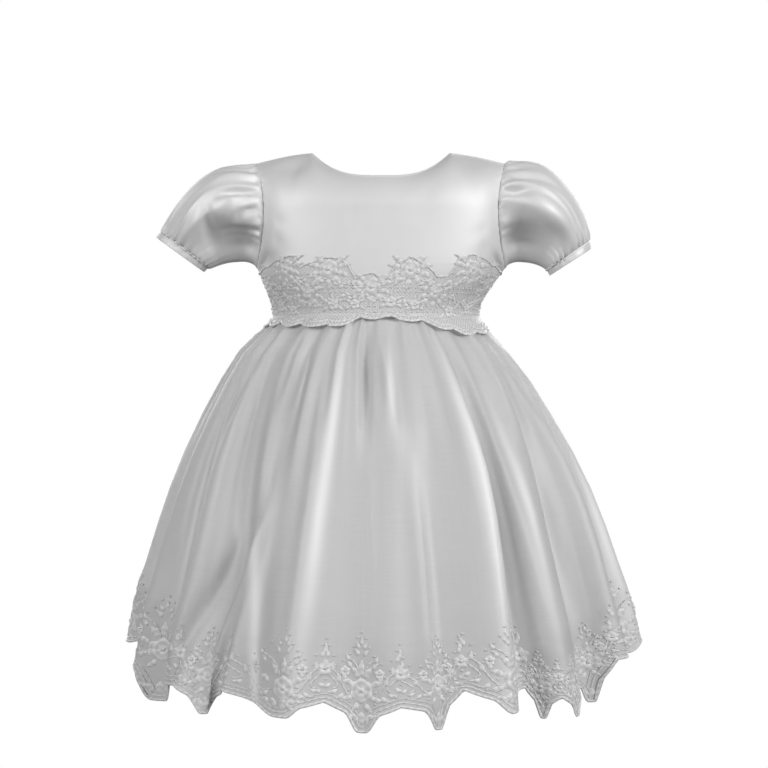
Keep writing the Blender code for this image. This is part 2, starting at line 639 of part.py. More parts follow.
bodice()
buttons()
sleeves()
skirt_overlay()
underskirt()
bodice_lace()
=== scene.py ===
"""Christening gown for an infant: the finish and fine form of each piece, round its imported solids.

Every sheet of cloth is worked out as a fine surface on the form of its own solid, with the
gathers, creases and seams that the sewing gives it. The tables are in millimetres, and a drop is
the distance below the neck point, the inner end of a shoulder seam. +X is the wearer's left, -Y
the front and +Z up.
"""

import math

import bpy
import numpy as np
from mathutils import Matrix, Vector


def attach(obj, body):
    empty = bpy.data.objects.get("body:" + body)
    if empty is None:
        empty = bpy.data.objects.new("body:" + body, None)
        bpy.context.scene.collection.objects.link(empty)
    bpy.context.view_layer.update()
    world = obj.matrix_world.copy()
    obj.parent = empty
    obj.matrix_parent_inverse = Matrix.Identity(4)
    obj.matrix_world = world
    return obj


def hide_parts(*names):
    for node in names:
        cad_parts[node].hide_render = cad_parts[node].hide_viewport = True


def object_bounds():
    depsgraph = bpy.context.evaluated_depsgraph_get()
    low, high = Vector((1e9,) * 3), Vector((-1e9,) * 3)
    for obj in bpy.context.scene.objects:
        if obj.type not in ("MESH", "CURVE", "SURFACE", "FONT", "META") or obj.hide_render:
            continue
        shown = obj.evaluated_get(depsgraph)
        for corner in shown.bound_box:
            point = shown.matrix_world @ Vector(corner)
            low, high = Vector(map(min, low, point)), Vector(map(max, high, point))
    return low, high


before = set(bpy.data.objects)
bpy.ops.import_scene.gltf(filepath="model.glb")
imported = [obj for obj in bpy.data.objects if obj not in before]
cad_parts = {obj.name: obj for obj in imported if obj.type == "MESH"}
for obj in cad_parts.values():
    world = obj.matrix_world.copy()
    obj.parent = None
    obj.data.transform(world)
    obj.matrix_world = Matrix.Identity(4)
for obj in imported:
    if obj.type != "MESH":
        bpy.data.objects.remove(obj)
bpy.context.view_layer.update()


# ------------------------------------------------------------------ front and back bodice
# White duchesse satin: a front cut on the fold and two backs that lap down the centre back. All
# seams are turned inside, so each shows as a fine groove that its thread puckers a little. The
# neckline is rolled over and stitched down beside its edge.
MM = 0.001
SHOULDER_DROP = 8.5
NECK_HALF_WIDTH = 59.0
NECK = {"front": (25.0, 50.0), "back": (16.0, 41.0)}  # drop and depth at the middle
NECK_SHARE = 0.52
NECK_LEAN_DEG = 45.0
ARMHOLE_MID_DROP = 53.0
ARMHOLE_HALF_HEIGHT = 45.0
ARMHOLE_HALF_DEPTH = 37.0
ARMPIT_DROP = ARMHOLE_MID_DROP + ARMHOLE_HALF_HEIGHT
ARMHOLE_X = 97.0
ARMHOLE_X_SWING = 8.0
ARMHOLE_TURN_DEG = 25.0
SHOULDER_TIP_X = ARMHOLE_X + ARMHOLE_X_SWING
CHEST_FLATNESS = 0.45
CHEST_BLEND = 30.0
EASE_REACH = 11.0
WAIST_DROP = 142.0
SATIN_WALL = 0.9
HALF_GIRTH = 118.0  # from the centre line round to a side seam
SHOULDER_RISE = 50.0  # from mid armhole up to the top edge
TOP_RISE = 45.0  # the same on the chart of creases
SIDE_RISE = WAIST_DROP - ARMHOLE_MID_DROP
LAP = 7.0 / NECK_HALF_WIDTH * NECK_SHARE * 2.0 / math.pi  # the backs pass the centre by this share
LAP_STEP = 1.65
FIRST_COLOUR, LAST_COLOUR, MIXED = 6, 7, 2  # a mix node's inputs and output for colours
SIDE_GAP = 0.06 * MM  # from a panel's edge to the plane of the side seams
GROOVE_DEPTH, GROOVE_WIDTH = 0.9, 1.3
ARMHOLE_GROOVE, WAIST_GROOVE = 0.20, 1.1
PUCKER, PUCKER_STEP, PUCKER_REACH = 0.22, 6.5, 4.5

BODICE_COLUMNS = ("drop", "half_width", "front", "back", "shift")
BODICE = np.array([
    (142, 87, 64, 64, -4.3),
    (133, 87, 64.5, 63.2, -4.3),
    (126, 88.6, 65, 62.3, -4),
    (119, 92.3, 65.5, 61.3, -3.3),
    (112, 96.3, 66, 60.5, -2.2),
    (105, 100.2, 66.3, 60, -1),
    (98, 105, 66.5, 59.8, 0),
    (53, 105, 63.5, 57, 0),
])

# Creases on a half-girth chart: across from the centre line and down from the neck point. Each is
# deepest at peak, a share of its length.
FRONT_LINES = np.array([  # from x and y, to x and y, bow, width, depth, peak
    (-24, 34, -19, 92, 2, 7, -0.9, 0.5),
    (-8, 40, -6, 96, -2, 9, 0.5, 0.5),
    (100, 74, 54, 99, 5, 7, -0.8, 0.3),
    (102, 64, 62, 76, 3, 5, -0.4, 0.3),
    (96, 84, 66, 112, 3, 5.5, 0.4, 0.3),
    (-101, 70, -58, 92, -4, 6.5, -0.6, 0.3),
    (-98, 82, -60, 116, -3, 6, -0.5, 0.3),
    (-103, 58, -70, 66, -2, 4.5, -0.4, 0.3),
    (70, 18, 88, 56, 3, 7, -0.7, 0.4),
    (-66, 20, -86, 54, -3, 6, -0.8, 0.4),
    (38, 30, 20, 70, 3, 10, -0.5, 0.3),
    (84, 141, 78, 104, 2, 6, -0.8, 0.3),
    (-86, 141, -76, 108, -2, 5, -0.8, 0.3),
    (-103, 29, -42, 24, -1.5, 8, -3.6, 0.4),
    (100, 27, 56, 21, 1, 7, -1.5, 0.4),
    (112, 86, 76, 104, 3, 7.5, -3.6, 0.35),
    (-112, 84, -78, 102, -3, 7, -3.2, 0.35),
])
BACK_LINES = np.array([
    (4, 61, 40, 67, 2, 4, -0.8, 0.15),
    (4, 95, 36, 90, -2, 4, -0.8, 0.15),
    (4, 96, 44, 106, 2, 5, -0.6, 0.2),
    (-5, 60, -36, 55, 2, 4, -0.7, 0.15),
    (-5, 94, -44, 101, -2, 5, -0.8, 0.2),
    (-4, 128, -34, 122, 2, 4, -0.7, 0.2),
    (5, 127, 30, 132, -1, 4, -0.6, 0.2),
    (100, 76, 52, 96, 4, 7, -1.2, 0.2),
    (-99, 72, -56, 98, -4, 7, -1.2, 0.2),
    (102, 60, 66, 70, 2, 5, -0.8, 0.2),
    (-102, 62, -62, 70, -2, 5, -0.7, 0.2),
    (72, 20, 88, 58, 3, 7, -0.7, 0.4),
    (-70, 18, -88, 52, -3, 7, -0.7, 0.4),
    (60, 141, 54, 108, 2, 6, -0.6, 0.3),
    (-66, 141, -60, 104, -2, 6, -0.6, 0.3),
])


def smooth(x):
    """0 below 0, 1 above 1, and the S curve x squared times (3 - 2x) between."""
    x = np.clip(x, 0.0, 1.0)
    return x * x * (3.0 - 2.0 * x)


def bell(x):
    """1 at 0 and falling away on both sides: e to the power of minus x squared."""
    return np.exp(-(x**2))


def placed(x, y, drop):
    """Points in metres in the gown's frame, from millimetres and a drop below the neck point."""
    x, y, drop = np.broadcast_arrays(x, y, drop)
    return np.stack([x, y, SHOULDER_DROP / 2.0 - drop], axis=-1) * MM


def outward(surface, a, b, step_a, step_b):
    """Unit normal: the cross product of short steps along a, anticlockwise, and along b, up."""
    along = placed(*surface(a + step_a, b)) - placed(*surface(a - step_a, b))
    up = placed(*surface(a, b + step_b)) - placed(*surface(a, b - step_b))
    n = np.cross(along, up)
    return n / np.maximum(np.linalg.norm(n, axis=-1, keepdims=True), 1e-12)


def swell(t, side, width, depth, peak):
    """A bell across a line, whose depth rises from nothing to the peak and falls away to nothing."""
    return depth * smooth(t / peak) * smooth((1.0 - t) / (1.0 - peak)) * bell(side / width)


def furrows(across, down, lines):
    """Soft troughs and ridges on a flat chart: the sum of a swell along each line.

    A line bows sideways by bow at its middle and widens. A negative depth is a trough.
    """
    total = np.zeros(np.broadcast(across, down).shape)
    for from_x, from_y, to_x, to_y, bow, width, depth, peak in lines:
        run_x, run_y = to_x - from_x, to_y - from_y
        length = math.hypot(run_x, run_y)
        t = ((across - from_x) * run_x + (down - from_y) * run_y) / length**2
        side = ((across - from_x) * run_y - (down - from_y) * run_x) / length
        t_in = np.clip(t, 0.0, 1.0)
        side = side - bow * 4.0 * t_in * (1.0 - t_in)
        total = total + swell(t, side, width * (0.7 + 0.6 * t_in), depth, peak)
    return total


def seam_groove(distance, run, depth=GROOVE_DEPTH):
    """How far cloth sinks at a seam: a narrow groove, and uneven puckers that die away from it."""
    pucker = PUCKER * np.sin(run / PUCKER_STEP * 2.0 * math.pi + 1.3 * np.sin(run / 17.0))
    return -depth * bell(distance / GROOVE_WIDTH) + pucker * np.exp(-distance / PUCKER_REACH)


def torso_ring(u, drop, part):
    """Half of the bodice below mid armhole: an arc of an ellipse, flattened over the chest, from
    the centre line, u = 0, to the side seam or, above the armpit, the armhole's edge, u = 1."""
    table_drop = BODICE[::-1, 0]
    centre_depth, side, shift = (
        np.interp(drop, table_drop, BODICE[::-1, BODICE_COLUMNS.index(name)])
        for name in (part, "half_width", "shift")
    )
    rise = np.clip((drop - ARMHOLE_MID_DROP) / ARMHOLE_HALF_HEIGHT, 0.0, 1.0)
    opened = np.sqrt(1.0 - rise**2)
    side = np.where(drop < ARMPIT_DROP, ARMHOLE_X + ARMHOLE_X_SWING * rise**2, side)
    edge_depth = ARMHOLE_HALF_DEPTH * opened
    end = np.radians(90.0 - ARMHOLE_TURN_DEG * opened)
    x = shift + side * np.sin(u * end) / np.sin(end)
    bow = (np.cos(u * end) - np.cos(end)) / (1.0 - np.cos(end))
    bow = bow + CHEST_FLATNESS * smooth((WAIST_DROP - drop) / CHEST_BLEND) * bow * (1.0 - bow)
    return x, edge_depth + (centre_depth - edge_depth) * bow


def torso(u, drop, part):
    """The rings with the turns between them eased: a mean over the drops around each, weighted 1,
    2, 3, 2, 1, whose reach shrinks to nothing at the edge."""
    reach = EASE_REACH * (1.0 - np.abs(u) ** 6)
    shares = np.array([-1.0, -0.5, 0.0, 0.5, 1.0])
    weights = np.array([1.0, 2.0, 3.0, 2.0, 1.0]) / 9.0
    rings = [weight * np.stack(torso_ring(u, drop + share * reach, part))
             for share, weight in zip(shares, weights)]
    return np.sum(rings, axis=0)


def bodice_form(u, level, part):
    """A panel's form: level 0 is the waist, 1 mid armhole and 2 the neckline or shoulder seam.

    Above mid armhole each column is part of an ellipse, upright below and leaning over the
    shoulder, whose end lies on the top edge.
    """
    neck_drop, neck_depth = NECK[part]
    drop = WAIST_DROP + (ARMHOLE_MID_DROP - WAIST_DROP) * np.minimum(level, 1.0)
    x, depth = torso(u, drop, part)
    round_neck = np.clip(np.abs(u) / NECK_SHARE, 0.0, 1.0)
    neck_turn = round_neck * math.pi / 2.0
    along = np.clip((np.abs(u) - NECK_SHARE) / (1.0 - NECK_SHARE), 0.0, 1.0)
    top_x = NECK_HALF_WIDTH * np.sin(neck_turn) + (SHOULDER_TIP_X - NECK_HALF_WIDTH) * along
    top_x = np.sign(u) * top_x
    top_depth = neck_depth * np.cos(neck_turn)
    top_drop = neck_drop * (1.0 - np.sin(neck_turn) ** 3) + SHOULDER_DROP * along**1.4
    lean = np.radians(NECK_LEAN_DEG + (90.0 - NECK_LEAN_DEG) * round_neck**2)
    turn = np.maximum(level - 1.0, 0.0) * lean
    x = x + (top_x - x) * (np.sin(turn) / np.sin(lean)) ** 2
    depth = depth + (top_depth - depth) * (1.0 - np.cos(turn)) / (1.0 - np.cos(lean))
    drop = drop + (top_drop - drop) * np.sin(turn) / np.sin(lean)
    return x, (-depth if part == "front" else depth), drop


def bodice_detail(u, level, part):
    """How far the cloth stands out from the form: creases, seam grooves and the rolled neckline."""
    lines = FRONT_LINES if part == "front" else BACK_LINES
    down = WAIST_DROP - SIDE_RISE * np.minimum(level, 1.0) - TOP_RISE * (level - 1.0) * (level > 1.0)
    stand = furrows(u * HALF_GIRTH, down, lines)
    to_side = (1.0 - np.abs(u)) * HALF_GIRTH
    to_waist = level * SIDE_RISE
    to_top = (2.0 - level) * SHOULDER_RISE
    stand = stand + seam_groove(to_side, down, np.where(down < ARMPIT_DROP, ARMHOLE_GROOVE, GROOVE_DEPTH))
    stand = stand + seam_groove(to_waist, u * HALF_GIRTH, WAIST_GROOVE)
    at_neck = smooth((NECK_SHARE - np.abs(u)) / 0.03)
    rolled = 0.5 * bell((to_top - 1.2) / 1.4) - 0.3 * bell((to_top - 4.0) / 0.7)
    return stand + at_neck * rolled + (1.0 - at_neck) * seam_groove(to_top, u * HALF_GIRTH)


def bodice_cloth(u, level, part, stand=0.0):
    """Points in metres of a bodice panel, lifted by stand off its finished surface."""
    side = 1.0 if part == "front" else -1.0
    out = outward(lambda a, b: bodice_form(a, b, part), u, level, 0.01 * side, 0.01)
    lift = bodice_detail(u, level, part) + stand
    points = placed(*bodice_form(u, level, part)) + out * lift[..., None] * MM
    points[..., 1] = side * np.minimum(side * points[..., 1], -SIDE_GAP)
    return points


def with_edges(values, unit, low=True, high=True):
    """Grid lines with extra ones beside each seam. unit is how much of the parameter is 1 mm."""
    near = np.array([0.5, 1.0, 1.6, 2.3, 3.2, 4.2]) * unit
    lines = [values]
    if low:
        lines.append(values[0] + near)
    if high:
        lines.append(values[-1] - near)
    lines = np.unique(np.round(np.concatenate(lines), 6))
    keep = np.append(True, np.diff(lines) > 0.25 * unit)
    keep[-1] = True
    return lines[keep]


def added(name, data):
    """A new object in the scene."""
    made = bpy.data.objects.new(name, data)
    bpy.context.scene.collection.objects.link(made)
    return made


def mesh_piece(name, points, quads, layer, uv):
    """A smooth mesh from arrays of points and quads, with a UV map that has a row for each corner."""
    mesh = bpy.data.meshes.new(name)
    mesh.from_pydata(points.reshape(-1, 3).tolist(), [], quads.tolist())
    mesh.uv_layers.new(name=layer).data.foreach_set("uv", uv.astype(np.float32).ravel())
    mesh.shade_smooth()
    return added(name, mesh)


def grid_mesh(name, points, closed=False, flat=None):
    """A mesh object on a grid of points whose columns run anticlockwise and whose rows rise.

    Its UV map is the cloth laid flat, in metres: flat, where it is given, or else across is
    measured on the longest row and up on the mean column, so that a weave keeps its real size
    and follows the gathers.
    """
    rows, columns = points.shape[:2]
    ring = np.concatenate([points, points[:, :1]], axis=1) if closed else points
    row_steps = np.linalg.norm(np.diff(ring, axis=1), axis=-1)
    across = np.append(0.0, np.cumsum(row_steps[row_steps.sum(axis=1).argmax()]))
    up = np.append(0.0, np.cumsum(np.linalg.norm(np.diff(points, axis=0), axis=-1).mean(axis=1)))
    r, c = np.mgrid[0:rows - 1, 0:ring.shape[1] - 1]
    corner_r = np.stack([r, r, r + 1, r + 1], axis=-1).reshape(-1, 4)
    corner_c = np.stack([c, c + 1, c + 1, c], axis=-1).reshape(-1, 4)
    quads = corner_r * columns + corner_c % columns
    uv = np.stack([across[corner_c], up[corner_r]], axis=-1) if flat is None else flat[corner_r, corner_c]
    return mesh_piece(name, points, quads, "cloth", uv)


def sewn(piece, finish, nodes=(), wall=0.0):
    """Gives a piece its thickness inwards, its finish, and its place on the gown."""
    if wall:
        thick = piece.modifiers.new("thickness", "SOLIDIFY")
        thick.thickness = wall * MM
        thick.offset = -1.0
        thick.use_quality_normals = True
    piece.data.materials.append(finish)
    if nodes:
        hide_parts(*nodes)
    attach(piece, "root")


def srgb(code):
    """Linear RGBA from a hex sRGB colour."""
    share = np.array([int(code[i:i + 2], 16) for i in (1, 3, 5)]) / 255.0
    linear = np.where(share <= 0.04045, share / 12.92, ((share + 0.055) / 1.055) ** 2.4)
    return (*linear.tolist(), 1.0)


def wire(tree, made, settings=None, links=None):
    """Sets a node's properties and inputs by name or number, and links inputs to other outputs."""
    for key, value in (settings or {}).items():
        if isinstance(key, int) or key in made.inputs:
            made.inputs[key].default_value = value
        else:
            setattr(made, key, value)
    for key, (source, output) in (links or {}).items():
        tree.links.new(source.outputs[output], made.inputs[key])
    return made


def node(tree, kind, settings=None, links=None):
    """Adds a shader node of a kind and wires it."""
    return wire(tree, tree.nodes.new("ShaderNode" + kind), settings, links)


def new_material(name):
    """An empty node material and its Principled shader."""
    made = bpy.data.materials.new(name)
    made.use_nodes = True
    return made.node_tree, made.node_tree.nodes["Principled BSDF"], made


def duchesse_satin(name, light, shade, roughness):
    """Duchesse satin: long polyester floats along the warp, so a soft sheen with fine streaks.

    The floats are 0.3 mm apart in the real cloth. They are drawn 0.9 mm apart, so that they show.
    """
    tree, shader, made = new_material(name)
    uv = node(tree, "UVMap", {"uv_map": "cloth"})
    floats = node(tree, "Mapping", {"Scale": (1 / (0.9 * MM), 1 / (11 * MM), 1.0)}, {"Vector": (uv, "UV")})
    streaks = node(tree, "TexNoise", {"Scale": 1.0, "Detail": 2.0, "Roughness": 0.6},
                   {"Vector": (floats, "Vector")})
    place = node(tree, "TexCoord")
    clouds = node(tree, "TexNoise", {"Scale": 38.0, "Detail": 3.0}, {"Vector": (place, "Object")})
    colour = node(tree, "Mix", {"data_type": "RGBA", FIRST_COLOUR: srgb(shade), LAST_COLOUR: srgb(light)},
                  {"Factor": (clouds, "Fac")})
    bump = node(tree, "Bump", {"Strength": 0.35, "Distance": 0.06 * MM}, {"Height": (streaks, "Fac")})
    sheen = {"Metallic": 0.2, "Sheen Weight": 0.12, "Sheen Roughness": 0.35}
    wire(tree, shader, {"Roughness": roughness, **sheen},
         {"Base Color": (colour, MIXED), "Normal": (bump, "Normal")})
    return made


satin = duchesse_satin("duchesse_satin", "#e2e2e2", "#dcdcdc", 0.55)

scoop = ARMHOLE_MID_DROP + ARMHOLE_HALF_HEIGHT * np.cos(np.radians(np.linspace(3.0, 90.0, 24)))
side_levels = (WAIST_DROP - np.concatenate([np.linspace(WAIST_DROP, ARMPIT_DROP, 24), scoop])) / SIDE_RISE
levels = np.concatenate([side_levels, np.linspace(1.0, 2.0, 30)[1:]])
levels = with_edges(levels, 1.0 / SIDE_RISE)[:, None]
half = with_edges(np.linspace(0.0, 1.0, 66), 1.0 / HALF_GIRTH, low=False)

front_u = np.concatenate([-half[:0:-1], half])[None, :]
bodice_front = grid_mesh("front_bodice_satin", bodice_cloth(front_u, levels, "front"))
sewn(bodice_front, satin, ["bodice_front"], SATIN_WALL)

back_u = np.concatenate([np.linspace(-LAP, 3.0 * LAP, 26), np.linspace(3.0 * LAP, 1.0, 52)[1:]])
back_u = with_edges(back_u, 1.0 / HALF_GIRTH)[None, :]
over = LAP_STEP * smooth(2.4 - back_u / LAP)
for name, u, stand in (("left", back_u[:, ::-1], 0.0), ("right", -back_u, over)):
    panel = grid_mesh(name + "_back_bodice_satin", bodice_cloth(u, levels, "back", stand))
    sewn(panel, satin, ["bodice_back_" + name], SATIN_WALL)


# ------------------------------------------------------------------ puff sleeves and cuffs
# The same satin, gathered into the armhole over the shoulder and all round into a narrow cuff.
# Gathers fan out from both seams and die away in the puff, and a few deeper creases cross it.
SLEEVE = np.array([  # upper x and drop, under x and drop, half depth
    (105, 8, 105, 98, 37),
    (112, 8, 108.5, 94, 41.5),
    (123, 8.2, 115, 91.8, 45),
    (137, 11, 123, 92, 46),
    (151, 19.5, 130, 93, 44),
    (164, 33, 136.5, 95, 39.5),
    (174, 48.5, 141, 97, 33),
    (180, 62, 143.5, 98, 27),
    (181.6, 69.5, 144.3, 97, 23.6),
    (184, 74.7, 147, 101.4, 23.4),
])
CUFF_ROW = 8.0
SLEEVE_PINCH = 0.42  # how much narrower the puff is below, where it has no gathers
PINCH_FROM, PINCH_OVER = 0.45, 0.35
SLEEVE_SIDES = {  # side, reach, drop of the head and of the cuff
    "left": (1, -0.06, -0.8, 5.0),
    "right": (-1, 0.07, 2.4, -3.0),
}
HEAD_GATHERS = 22
CUFF_GATHERS = 26
PUFF_RADIUS = 45.0
MM_PER_DEGREE = 0.78  # round the puff, and from row to row of the table
MM_PER_ROW = 11.5

# Creases from and to a place, in degrees from the shoulder towards the front and rows from the
# armhole, then as on the bodice.
SLEEVE_LINES = {
    "left": np.array([
        (46, 0.2, 50, 4.7, 2, 4.5, -3.6, 0.35),
        (24, 0.3, 16, 4.6, 1, 7, 1.8, 0.4),
        (34, 0.2, 36, 2.6, 0, 3, -1.5, 0.3),
        (67, 0.3, 76, 2.6, 1, 3.6, -3.4, 0.4),
        (58, 0.2, 62, 2.8, 0, 3.5, 1.8, 0.4),
        (80, 0.8, 88, 6.2, 6, 11, 5, 0.55),
        (126, -0.6, 122, 6.4, 5, 15, -7.5, 0.45),
        (-36, 0.2, -44, 4, -2, 4.5, -3, 0.35),
        (-62, 0.2, -74, 3.4, -1, 3.6, -2.6, 0.35),
        (-76, 1, -72, 6, 3, 11, 2.6, 0.5),
        (-96, 0.3, -108, 4.4, -2, 6, -2.8, 0.4),
        (-130, 0.5, -122, 4.8, 2, 6, -1.8, 0.4),
        (-14, 0.2, -20, 3.2, 0, 4, -1.8, 0.35),
    ]),
    "right": np.array([
        (69, 0.2, 73, 3.9, -1, 3.2, -5.4, 0.45),
        (50, 0.3, 42, 3.8, 1, 7, 2.2, 0.5),
        (76, 1.4, 84, 3.4, 0, 5, 2, 0.5),
        (83, 0.2, 104, 2.7, 0, 3.2, -3.8, 0.45),
        (98, -0.4, 94, 4.4, 2, 8, 3.6, 0.5),
        (56, 3.8, 150, 4.5, -2, 6, -3.6, 0.45),
        (134, -0.6, 130, 5.6, 3, 15, -7.5, 0.45),
        (62, 5.4, 70, 5.2, 0, 12, 1.2, 0.5),
        (28, 0.2, 22, 2.8, 0, 3.6, -1.8, 0.35),
        (-30, 0.2, -38, 3.8, -1, 4.2, -2.8, 0.35),
        (-54, 0.2, -60, 4.4, 2, 4.5, -3.2, 0.4),
        (-70, 1, -66, 5.6, -2, 10, 2.4, 0.5),
        (-86, 0.3, -102, 4, -2, 5, -2.8, 0.4),
        (-124, 0.4, -120, 4.6, 2, 6, -2, 0.4),
        (-8, 0.2, -4, 3, 0, 4, -1.6, 0.35),
    ]),
}


def eased(at, values):
    """Values that stand at rows 0, 1, 2 and on, joined by cubic curves with each row's mean slope."""
    slopes = np.gradient(values)
    low = np.clip(np.floor(at), 0, len(values) - 2).astype(int)
    t = np.clip(at - low, 0.0, 1.0)
    joined = values[low] + (values[low + 1] - values[low]) * t**2 * (3.0 - 2.0 * t)
    return joined + slopes[low] * t * (1.0 - t) ** 2 - slopes[low + 1] * t**2 * (1.0 - t)


def sleeve_form(angle, row, side_row):
    """A ring at a row of the table: an oval between its upper and under points, pinched below.

    The angle is from the shoulder. The first rings take the armhole's inset, rows below 0 are the
    allowance turned in under the bodice's edge, and each sleeve sits a little unevenly.
    """
    side, reach, head_drop, cuff_drop = side_row
    top_x, top_drop, under_x, under_drop, half_depth = (eased(row, SLEEVE[:, i]) for i in range(5))
    upper = (1.0 + np.cos(angle)) / 2.0
    pinch = smooth((1.0 - upper - PINCH_FROM) / PINCH_OVER) * smooth(row / 2.0)
    half_depth = half_depth * (1.0 - SLEEVE_PINCH * pinch * smooth((CUFF_ROW - 0.5 - row) / 3.0))
    x = under_x + (top_x - under_x) * upper
    x = x - ARMHOLE_X_SWING * np.sin(angle) ** 2 * np.clip(1.0 - row / 2.0, 0.0, 1.0)
    drop = under_drop + (top_drop - under_drop) * upper
    along = row / CUFF_ROW
    x = x + np.maximum(x - SHOULDER_TIP_X, 0.0) * reach * along**2
    x = x - np.maximum(-row, 0.0) * MM_PER_ROW
    drop = drop + cuff_drop * along**2 * (0.3 + 0.7 * upper)
    drop = drop + head_drop * upper * np.sin(np.clip(along, 0.0, 1.0) * math.pi) ** 0.5
    return side * x, side * half_depth * np.sin(angle), drop


def sleeve_detail(angle, row, side):
    """Gathers that fan from the armhole and from the cuff, the deeper creases, and both seams.

    A gather is a wave round the ring whose spacing wanders. Those of the armhole keep to the
    upper two thirds and die away by the fourth row; those of the cuff die away above it.
    """
    front = -np.degrees(np.arctan2(np.sin(angle), np.cos(angle))) * side
    wander = 1.1 * np.sin(3.0 * angle + side) + 0.7 * np.sin(7.0 * angle + 1.7 * side)
    upper = smooth((2.4 - np.abs(np.radians(front))) / 0.6)
    head = np.cos(HEAD_GATHERS * angle + 1.6 * wander) * (0.8 + 0.35 * np.sin(5.0 * angle + 2.0 * side))
    head = head * upper * smooth(row / 0.7) * np.exp(-row / (1.35 + 0.5 * np.sin(4.0 * angle + side)))
    below = CUFF_ROW - row
    cuff = np.cos(CUFF_GATHERS * angle + 1.3 * wander) * (0.8 + 0.3 * np.sin(6.0 * angle + side))
    cuff = cuff * smooth(below / 0.35) * np.exp(-below / (1.0 + 0.35 * np.sin(5.0 * angle)))
    scale = np.array([MM_PER_DEGREE, MM_PER_ROW, MM_PER_DEGREE, MM_PER_ROW, 1.0, 1.0, 1.0, 1.0])
    name = "left" if side > 0 else "right"
    deep = furrows(front * MM_PER_DEGREE, row * MM_PER_ROW, SLEEVE_LINES[name] * scale)
    deep = deep * smooth(below / 1.2)
    run = angle * PUFF_RADIUS
    seams = seam_groove(np.abs(row) * MM_PER_ROW, run, ARMHOLE_GROOVE)
    seams = seams + seam_groove(below * MM_PER_ROW, run)
    turned_in = 1.5 * smooth(-row / 0.08)
    return 2.4 * head + 1.7 * cuff + deep + seams - turned_in


def sleeve_cloth(angle, row, side_row, detail):
    """Points in metres of a sleeve or cuff, with its detail along the normal. Rows run upwards."""
    out = outward(lambda a, b: sleeve_form(a, -b, side_row), angle,
                  -np.clip(row, 0.05, CUFF_ROW + 0.95), 0.02, 0.04)
    return placed(*sleeve_form(angle, row, side_row)) + out * detail[..., None] * MM


def cuff_detail(row, angle):
    """A folded band: rounded at both edges, with a row of stitches sunk beside each."""
    across = np.clip(row - CUFF_ROW, 0.0, 1.0)
    rounded = 0.5 * (1.0 - (2.0 * across - 1.0) ** 6)
    stitched = bell((across - 0.2) / 0.05) + bell((across - 0.8) / 0.05)
    ripple = 0.12 * np.sin(17.0 * angle) * np.sin(math.pi * across)
    return rounded - 0.22 * stitched + ripple


ring = np.radians(np.arange(0.0, 360.0, 360.0 / 204.0))[None, :]
sleeve_rows = with_edges(np.linspace(0.0, CUFF_ROW, 68), 1.0 / MM_PER_ROW)
sleeve_rows = np.append([-0.16, -0.08, -0.03], sleeve_rows)[::-1, None]
cuff_rows = np.linspace(CUFF_ROW + 0.04, CUFF_ROW + 1.0, 22)[::-1, None]
for name, side_row in SLEEVE_SIDES.items():
    puff = sleeve_cloth(ring, sleeve_rows, side_row, sleeve_detail(ring, sleeve_rows, side_row[0]))
    puff = grid_mesh(name + "_puff_sleeve_satin", puff, closed=True)
    sewn(puff, satin, ["sleeve_" + name], SATIN_WALL)
    band = sleeve_cloth(ring[:, ::2], cuff_rows, side_row, cuff_detail(cuff_rows, ring[:, ::2]))
    band = grid_mesh(name + "_cuff_satin", band, closed=True)
    sewn(band, satin, ["cuff_" + name], SATIN_WALL)


# ------------------------------------------------------------------ satin underskirt
# A plain half circle of satin, front and back, sewn into the waist seam inside the overlay. Its
# soft folds follow the overlay's at half their depth, and its hem is turned up and stitched.
FRONT_FALL = 286.0
SIDE_FALL = 258.0
GATHERS = 34
ORGANZA_WALL = 0.4
UNDERSKIRT_END = 0.95
UNDERSKIRT_HEM = 17.0
UNDERSKIRT_MEAN_RADIUS = 150.0
SKIRT_SOLID_WALL = 1.0
SKIRT_TOP_DROP = WAIST_DROP + 0.3  # the seam's gap below the bodice

SKIRT = np.array([  # share of the fall, half width, half depth, gather, fold, shift
    (0, 87.2, 64.4, 0.7, 0.1, -4.3),
    (0.02, 91.5, 69, 1.8, 0.5, -4.8),
    (0.05, 99.5, 76, 2.1, 1, -5.5),
    (0.1, 112.5, 87, 1.7, 1.8, -5.6),
    (0.19, 128, 102.5, 1.1, 3.2, -3.9),
    (0.3, 144, 118, 0.5, 4.6, -2.5),
    (0.42, 159, 131.5, 0.2, 6.2, -1.3),
    (0.54, 171.5, 143.5, 0, 7.6, -0.2),
    (0.66, 181.5, 154, 0, 9, 0.6),
    (0.78, 190.5, 163, 0, 10.2, 1.2),
    (0.9, 200.5, 170.5, 0, 11.2, 1.6),
    (1, 206.5, 175, 0, 12, 2),
])

# Large folds at the hem, each a crest and the valley after it. A drift is how many degrees
# further round the fold lies where it leaves the waist.
FOLDS = np.array([  # degrees, height and drift of the crest, then of the valley
    (-88, 0.9, 0, -78, 0.7, 0),
    (-70, 0.7, -2, -62, 0.9, -4),
    (-51, 0.8, -6, -40, 1, -4),
    (-18, 1, 9, -7, 0.2, 6),
    (1, 0.2, 5, 12, 0.6, 9),
    (25.5, 1, 2, 32.5, 1, 2),
    (42, 0.8, 8, 54, 1, 8),
    (63, 0.9, 6, 72, 0.8, 3),
    (81, 0.9, 0, 90, 0.6, 0),
    (99, 0.8, 0, 108, 0.9, -4),
    (118, 0.9, -5, 128, 0.8, -4),
    (137, 1, 3, 147, 1, 4),
    (156, 0.8, 3, 165, 0.6, 0),
    (174, 0.7, 0, 184, 0.8, 0),
    (194, 0.9, -4, 204, 1, -5),
    (214, 1, -3, 223, 0.7, 2),
    (233, 0.8, 5, 242, 0.9, 4),
    (252, 0.9, 3, 262, 0.8, 0),
])

